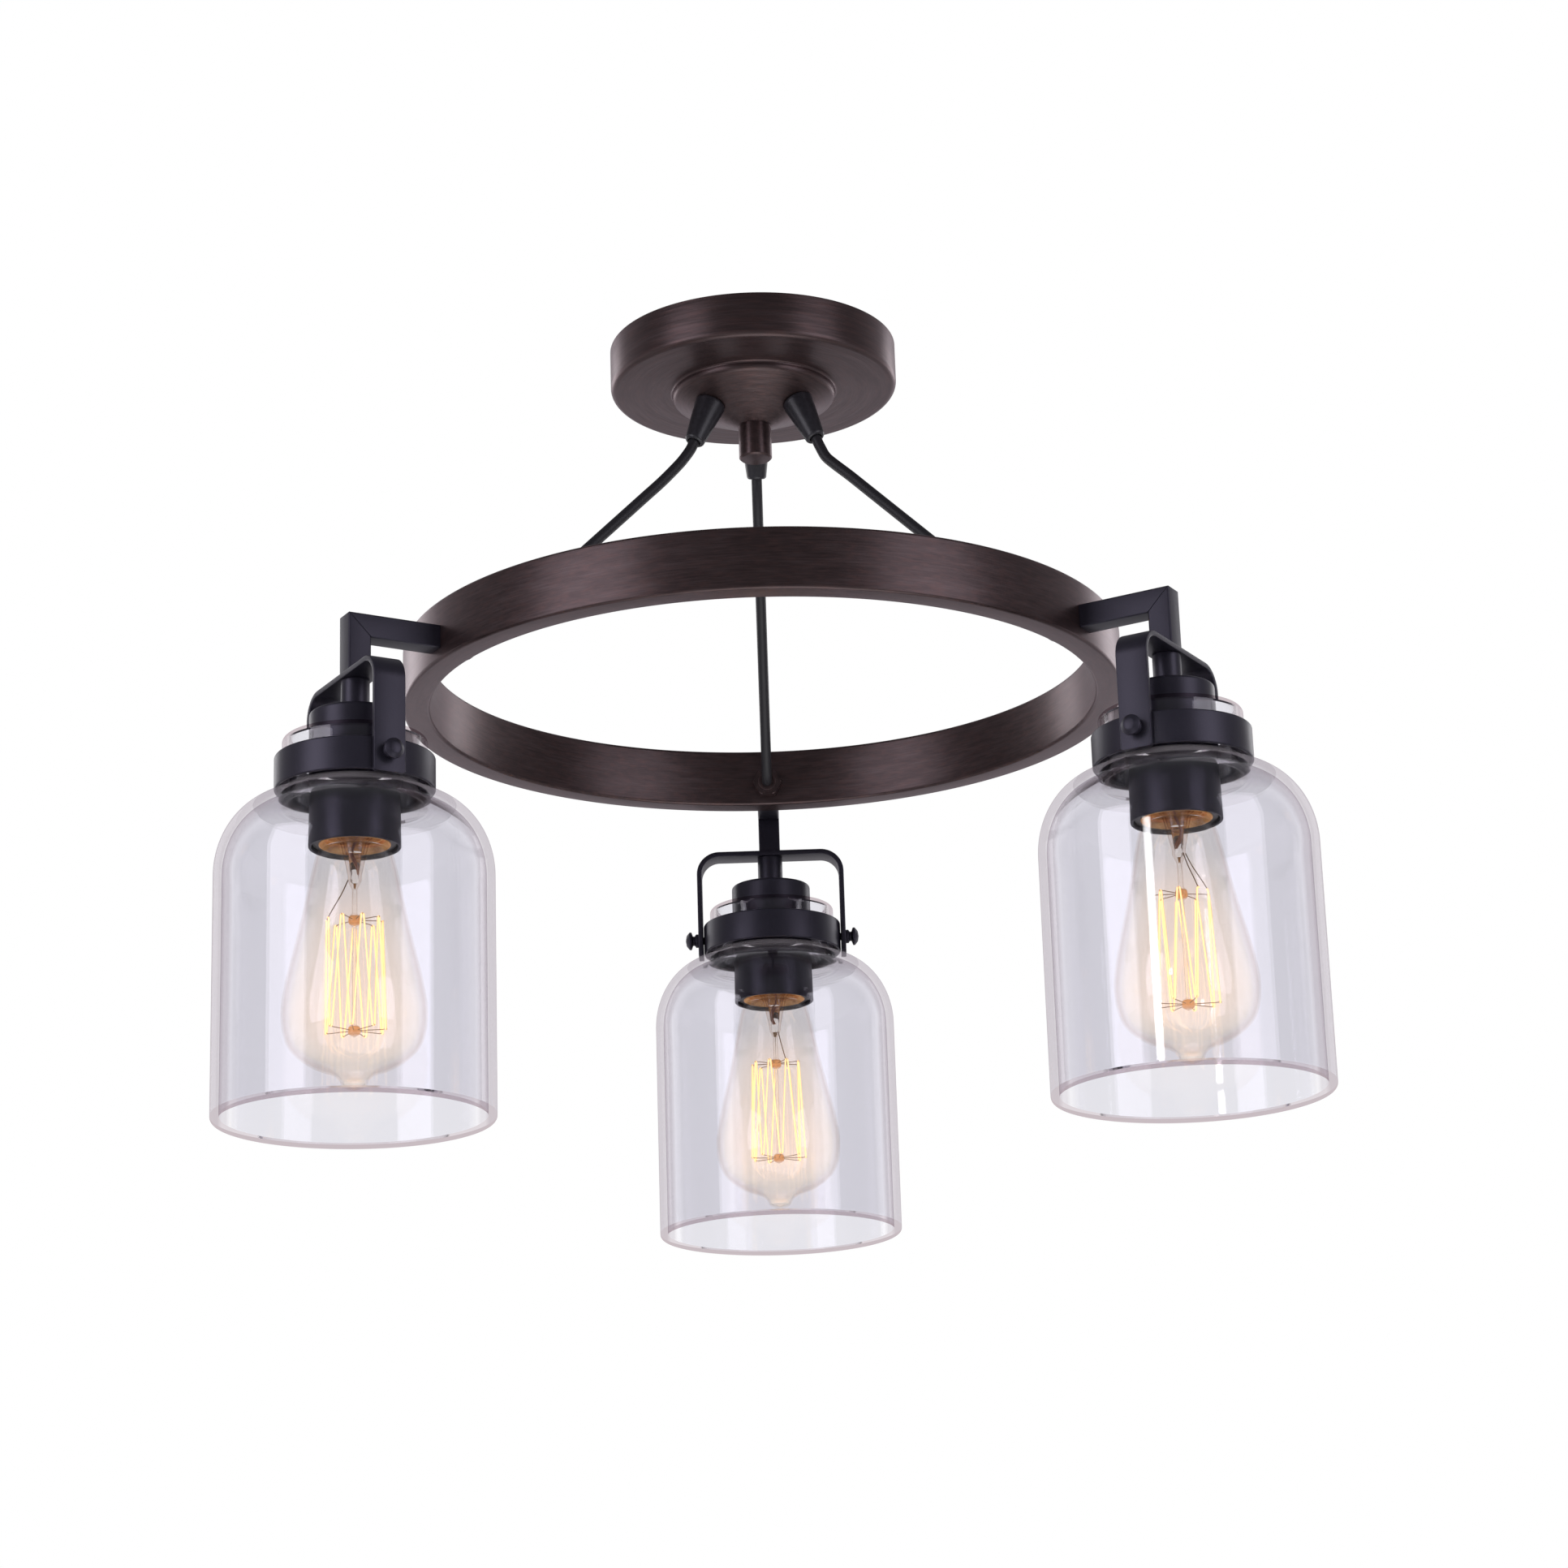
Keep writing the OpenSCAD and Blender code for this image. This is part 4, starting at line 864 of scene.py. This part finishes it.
shade_outline = (
    lip(neck_r - wall / 2, neck_top - wall / 2, 180, 0) + [(neck_r, z) for z in neck_wall]
    + jar(0) + [(body_r, z) for z in body_wall]
    + lip(body_r - wall / 2, shade_foot + wall / 2, 0, -180)
    + [(body_r - wall, z) for z in body_wall[::-1]] + jar(wall)[::-1]
    + [(neck_r - wall, z) for z in neck_wall[::-1]]
)
for n in (1, 2, 3):
    piece(f"glass_shade_{n}_jar", turned(shade_outline, 192), clear_glass, "ring_group",
          [f"glass_shade_{n}"], at_light(n), keen=80)


# Bulbs. A pear of thin, faintly amber glass with a tip, on a brass screw cap; inside, a glass
# stem carries two beads and the hooks of the filament's cage, and two leads run up to its press.
pale_amber, dull_amber = (0.985, 0.975, 0.95), (0.93, 0.90, 0.88)
stem_glass = glass(
    "amber_glass", clear=pale_amber, slanting=dull_amber, edge=(0.72, 0.66, 0.63), starts=0.08,
)
bulb_veil = glass(
    "amber_glass", clear=pale_amber, slanting=(0.985, 0.975, 0.96), edge=dull_amber, starts=0.5,
)
# Painted glow: below the press the veil emits an orange light, strongest where it faces the eye,
# standing in for the filament's light on the glass round the cage.
below_press = (-0.29 - bulb_veil.height()) / 0.1
painted_glow_beside_cage = bulb_veil.ramp(
    below_press, (0.0, (0, 0, 0)), (0.25, (0.8, 0.8, 0.8)), (0.6, (1, 1, 1)),
)
painted_glow_before_cage = bulb_veil.ramp(
    bulb_veil.facing(),
    (0.0, (0.115, 0.062, 0.022)), (0.09, (0.1, 0.056, 0.022)), (0.17, (0.062, 0.042, 0.018)),
    (0.5, (0.046, 0.034, 0.018)),
)
bulb_veil.give({
    "Emission Strength": 1.0,
    "Emission Color": bulb_veil.mixed(painted_glow_beside_cage, (0, 0, 0), painted_glow_before_cage),
})
edge_z = -274.3
bulb_line = flowing([(r, 0, edge_z + up) for r, up in (
    (11.7, 10), (11.7, 0.6), (12.2, -1), (14.5, -4.5), (17.8, -11), (24.4, -42), (30.2, -66.5),
    (32, -81.5), (29.2, -94.5), (20.5, -102.6), (10.2, -107), (6.6, -109.8), (4.9, -112.7),
    (0, -114.3),
)], 8)


def set_in(line, depth):
    """The line's inner side at this depth, down to its last point on the axis."""
    inner = []
    for i, here in enumerate(line[:-1]):
        run = (line[i + 1] - line[max(i - 1, 0)]).normalized()
        inner.append((max(0, here.x + depth * run.z), here.z - depth * run.x))
    return inner


bulb_wall = 0.8
tip = bulb_line[-1]
bulb_outline = [(max(p.x, 0), p.z) for p in bulb_line]
bulb_outline += [(0, tip.z + bulb_wall)] + set_in(bulb_line, bulb_wall)[::-1]
press_z, top_z, foot_z = edge_z - 20, edge_z - 38, edge_z - 88
stem_outline = rounded(
    (10.85, -264.8, 0.3), (9.65, -270.8, 2), (6.5, -276.8, 3), (5, -282.8, 2), (3, -292.3, 1),
    (3, -294.3, 0.5), (1.2, -298.3, 0.5), (1.2, top_z + 3, 0.3), (2.6, top_z + 1.5, 0.8),
    (2.6, top_z - 1.5, 0.8), (1, top_z - 3, 0.3), (1, foot_z + 3, 0.3), (2.6, foot_z + 1.5, 0.8),
    (2.6, foot_z - 1.5, 0.8), (0, foot_z - 3, 0), (0, -284.8, 0), (4, -281.8, 1), (5.4, -275.8, 2),
    (8.65, -269.8, 2), (9.95, -264.8, 0.3), steps=5,
)
cap_outline = rounded(
    (0, -248.3, 0), (4, -248.3, 0.3), (4.8, -249.1, 0.3), (9.4, -250.7, 0.6), (12.5, -253.55, 0.3),
    (12.8, -254.5, 0), (12.8, -272.6, 0), (13.1, -273.3, 0.2), (13.1, -274.3, 0.3),
    (11.9, -274.3, 0.1), (11.9, -253.3, 0), (0, -253.3, 0), steps=4,
)
cap_line = []
for near, far in zip(cap_outline, cap_outline[1:]):
    threaded = near.y - far.y > 15
    rows = 100 if threaded else 1
    cap_line += [near + (far - near) * k / rows for k in range(rows)]
cap_shape = thread.grow(
    turned(cap_line + cap_outline[-1:], 96), brass, Depth=crest, Pitch=pitch, Low=-272.4,
    High=-254.6,
)

# The filament: up and down between two rings of hooks, with its corners rounded where it bends.
# It lies over each hook for a small angle.
runs = Grower("caged_filament", Hooks="Int", Turn="Float", Top_radius="Float", Foot_radius="Float",
              Top="Float", Foot="Float", Wire="Float")
size = runs.inlet.also
index = runs.new("GeometryNodeInputIndex")
bend = (index * 0.5).floor()
over_hook, bend_r = 0.09, 0.55
beside = (index - bend * 2.0 - 0.5) * over_hook
at_foot = bend - (bend * 0.5).floor() * 2.0
angle = bend * size("Turn") / (size("Hooks") * 2.0) + beside
reach = size("Top_radius") + (size("Foot_radius") - size("Top_radius")) * at_foot
place = runs.new("ShaderNodeCombineXYZ", {}, {
    0: angle.cosine() * reach, 1: angle.sine() * reach,
    2: size("Top") + (size("Foot") - size("Top")) * at_foot,
})
chain = runs.new("GeometryNodeMeshLine", {}, {"Count": size("Hooks") * 4.0 + 2.0})
chain = runs.new("GeometryNodeSetPosition", {}, {"Geometry": chain, "Position": place})
wire = runs.new("GeometryNodeMeshToCurve", {}, {0: chain})
wire = runs.new("GeometryNodeFilletCurve", {}, {0: wire, "Radius": bend_r})
round_wire = runs.new("GeometryNodeCurvePrimitiveCircle", {"mode": "RADIUS"}, {
    "Resolution": 8, "Radius": size("Wire"),
})
runs.end(runs.new("GeometryNodeCurveToMesh", {}, {
    "Curve": wire, "Profile Curve": round_wire, "Fill Caps": True,
}))

glow = Finish("filament_wire", {
    "Base Color": (0.9, 0.55, 0.2), "Roughness": 0.6, "Emission Strength": 1.5,
})
glow.give({"Emission Color": glow.ramp(
    glow.facing(), (0.15, (1.0, 0.80, 0.42)), (0.5, (1.0, 0.60, 0.22)), (0.9, (0.80, 0.30, 0.08)),
)})
hook_steel = Finish("filament_wire", {"Metallic": 0.6}, "hook_wire")
dull = hook_steel.grain(hook_steel.where, 900, 2)
steel = hook_steel.ramp(dull, (0.3, (0.16, 0.12, 0.10)), (0.7, (0.30, 0.24, 0.20)))
in_press = hook_steel.mask((hook_steel.height() + 0.3) / 0.02, 0.3, 0.4)
hook_steel.give({
    "Base Color": hook_steel.mixed(in_press, steel, (0.52, 0.27, 0.20)),
    "Roughness": 0.35 + dull * 0.2,
})
# Painted glow: the beads emit a faint orange, standing in for the filament's light in them.
bead_glass_painted_glow = Finish("amber_glass", {
    "Roughness": 0.12, "Coat Weight": 0.6, "Emission Color": (1.0, 0.42, 0.16),
    "Emission Strength": 0.3,
}, "bead_glass_painted_glow")
shade = bead_glass_painted_glow.grain(bead_glass_painted_glow.where, 400, 2)
bead_glass_painted_glow.give({
    "Base Color": bead_glass_painted_glow.ramp(shade, (0.3, (0.62, 0.27, 0.10)), (0.7, (0.78, 0.42, 0.20))),
})

cage_turn, cage_runs = math.radians(330), 16
top_r, foot_r = 12.5, 14.0
filament_shape = runs.grow(
    ([(0, 0, 0)], []), glow, Hooks=cage_runs // 2, Turn=cage_turn, Top_radius=top_r,
    Foot_radius=foot_r, Top=top_z, Foot=foot_z, Wire=0.42,
)
hooks = []
for i in range(1, cage_runs):
    reach, height, curl = (top_r, top_z, 0.45) if i % 2 == 0 else (foot_r, foot_z, -0.45)
    arm = [
        (2.4, 0, height), (reach * 0.6, 0, height), (reach - 1.2, 0, height),
        (reach - 0.3, 0, height - curl), (reach + 0.35, 0, height - curl * 0.7),
        (reach + 0.45, 0, height + curl * 0.4),
    ]
    spoke = Matrix.Rotation(cage_turn * i / cage_runs, 4, "Z")
    hooks.append(moved(tube(flowing(arm, 4), radius=0.19, sides=8), spoke))
lead_foot_r, twist_r, twist_top = 3.2, 1.1, -262
wire_turn, wire_drop = 0.5, 1.55
leads = []
for a in (0, cage_turn):
    foot = Vector((lead_foot_r * math.cos(a), lead_foot_r * math.sin(a), press_z))
    head = Vector((top_r * math.cos(a), top_r * math.sin(a), top_z))
    sag = foot.lerp(head, 0.3) + Vector((0, 0, -0.8))
    route = flowing([foot, sag, foot.lerp(head, 0.8), head], 6)
    leads.append(tube(route, radius=0.25, sides=8))
    twist = []
    for k in range(20):
        turn, height = a + wire_turn * k, twist_top - wire_drop * k
        twist.append((twist_r * math.cos(turn), twist_r * math.sin(turn), height))
    leads.append(tube(flowing(twist, 3), radius=0.4, sides=8))
bead_r, bead_half = 2.75, 1.9
bead_outline = rounded(
    (0, -bead_half, 0), (bead_r, -bead_half, 1.2), (bead_r, bead_half, 1.2), (0, bead_half, 0),
    steps=8,
)
beads = together(*[
    moved(turned(bead_outline, 40), Matrix.Translation((0, 0, z))) for z in (top_z, foot_z)
])
for n in (1, 2, 3):
    body, here = f"bulb_{n}", at_light(n)
    piece(f"bulb_{n}_envelope", turned(bulb_outline, 128), bulb_veil, body, [f"bulb_glass_{n}"],
          here, keen=80)
    piece(f"bulb_{n}_stem", turned(stem_outline, 64), stem_glass, body, (), here)
    piece(f"bulb_{n}_beads", beads, bead_glass_painted_glow, body, (), here)
    piece(f"bulb_{n}_cap", cap_shape, lit_brass, body, [f"bulb_cap_{n}"], here, keen=60)
    piece(f"bulb_{n}_filament", filament_shape, glow, body, [f"filament_{n}"], here, keen=80)
    piece(f"bulb_{n}_hooks_and_leads", together(*hooks, *leads), hook_steel, body, (), here,
          keen=60)


# Floor, lamps and air. A pale floor lies far below, out of the picture; softboxes stand round the
# light, and the air behind it is white.
def through_clear_glass(nodes, ray):
    """1 for a ray that left the camera, passed glass and was thrown back by nothing on its way."""
    bounces = ray.also("Glossy Depth") + ray.also("Diffuse Depth")
    return ray.also("Is Transmission Ray") * bounces.below(0.5)


def floor_piece(half, height):
    mesh = bpy.data.meshes.new("floor")
    corners = [(x * half, y * half, height) for x, y in ((-1, -1), (1, -1), (1, 1), (-1, 1))]
    mesh.from_pydata(corners, [], [(0, 1, 2, 3)])
    made = bpy.data.objects.new("floor", mesh)
    bpy.context.scene.collection.objects.link(made)
    pale = bpy.data.materials.new("floor")
    pale.use_nodes = True
    nodes = Nodes(pale.node_tree)
    mist = nodes.grain(nodes.new("ShaderNodeTexCoord", output="Object"), 3, 2)
    matt, outlet = pale.node_tree.nodes["Principled BSDF"], pale.node_tree.nodes["Material Output"]
    nodes.fill(matt, {
        "Base Color": nodes.ramp(mist, (0.3, (0.86, 0.86, 0.86)), (0.7, (0.9, 0.9, 0.9))),
        "Roughness": 0.8,
    })
    ray = nodes.new("ShaderNodeLightPath")
    white = nodes.new("ShaderNodeEmission", {}, {"Color": (1, 1, 1), "Strength": 1.0})
    seen = ray.also("Is Camera Ray") + through_clear_glass(nodes, ray)
    shown = nodes.blended(seen, Socket(nodes, matt.outputs["BSDF"]), white)
    pale.node_tree.links.new(shown.output, outlet.inputs["Surface"])
    mesh.materials.append(pale)


def softbox(name, place, width, height, watts, colour=(1, 1, 1), aim=(0, 0, -0.25), spread=180,
            through_glass=True):
    """A rectangular lamp, in metres and watts. Glass may keep it out of what is seen through it."""
    lamp = bpy.data.lights.new(name, "AREA")
    lamp.shape = "RECTANGLE"
    lamp.size, lamp.size_y, lamp.energy, lamp.color = width, height, watts, colour
    lamp.spread = math.radians(spread)
    made = bpy.data.objects.new(name, lamp)
    facing = (Vector(aim) - Vector(place)).to_track_quat("-Z", "Y").to_matrix().to_4x4()
    made.matrix_world = Matrix.Translation(place) @ facing
    made.visible_transmission = through_glass
    bpy.context.scene.collection.objects.link(made)


cool_white = (0.93, 0.9, 1.0)
floor_piece(half=6, height=-2.4)
softbox("box_left", (-1.05, -0.85, -0.05), 0.7, 1.1, watts=6.5, colour=cool_white)
softbox("box_right", (1.05, -0.85, -0.05), 0.7, 1.1, watts=5, colour=cool_white)
softbox("strip_right", (-0.32, -0.97, -0.105), 0.1, 0.17, watts=0.006,
        aim=(0.183, -0.105, -0.33), spread=14)
softbox("sheet_below", (0.2, -0.4, -2.0), 1.6, 1.6, watts=12, through_glass=False)
softbox("rim_left", (-1.3, 1.5, 0.2), 0.6, 1.2, watts=5, through_glass=False)
softbox("rim_right", (1.3, 1.5, 0.2), 0.6, 1.2, watts=5, through_glass=False)

air = bpy.data.worlds.new("air")
bpy.context.scene.world = air
air.use_nodes = True
sky = Nodes(air.node_tree)
air.node_tree.nodes.clear()
ray = sky.new("ShaderNodeLightPath")
way = sky.parted(sky.new("ShaderNodeTexCoord", output="Generated"))
up, back = way.also("Z") * 0.5 + 0.5, way.also("Y") * 0.5 + 0.5
front_wall = sky.ramp(
    up, (0.0, (0.5, 0.49, 0.51)), (0.35, (0.24, 0.23, 0.25)), (0.5, (0.13, 0.13, 0.14)),
    (0.75, (0.12, 0.12, 0.13)), (0.95, (0.10, 0.10, 0.11)),
)
back_wall = sky.ramp(
    up, (0.0, (0.6, 0.58, 0.6)), (0.46, (0.72, 0.69, 0.73)), (0.54, (0.5, 0.48, 0.5)),
    (0.75, (0.4, 0.39, 0.41)), (0.95, (0.2, 0.2, 0.21)),
)
studio = sky.mixed(sky.mask(back, 0.45, 0.7), front_wall, back_wall)
seen = sky.new("ShaderNodeBackground", {}, {"Color": (1, 1, 1), "Strength": 1.0})
mirrored = sky.new("ShaderNodeBackground", {}, {"Color": studio, "Strength": 1.0})
lighting = sky.new("ShaderNodeBackground", {}, {"Color": (0.97, 0.97, 1.0), "Strength": 0.5})
through = sky.new("ShaderNodeBackground", {}, {"Color": (0.98, 0.98, 1.0), "Strength": 1.0})
in_glass = ray.also("Is Glossy Ray") + ray.also("Is Transmission Ray")
shown = sky.blended(in_glass, lighting, mirrored)
shown = sky.blended(through_clear_glass(sky, ray), shown, through)
shown = sky.blended(ray.also("Is Camera Ray"), shown, seen)
outlet = air.node_tree.nodes.new("ShaderNodeOutputWorld")
air.node_tree.links.new(shown.output, outlet.inputs[0])

bpy.context.scene.view_settings.view_transform = "Standard"
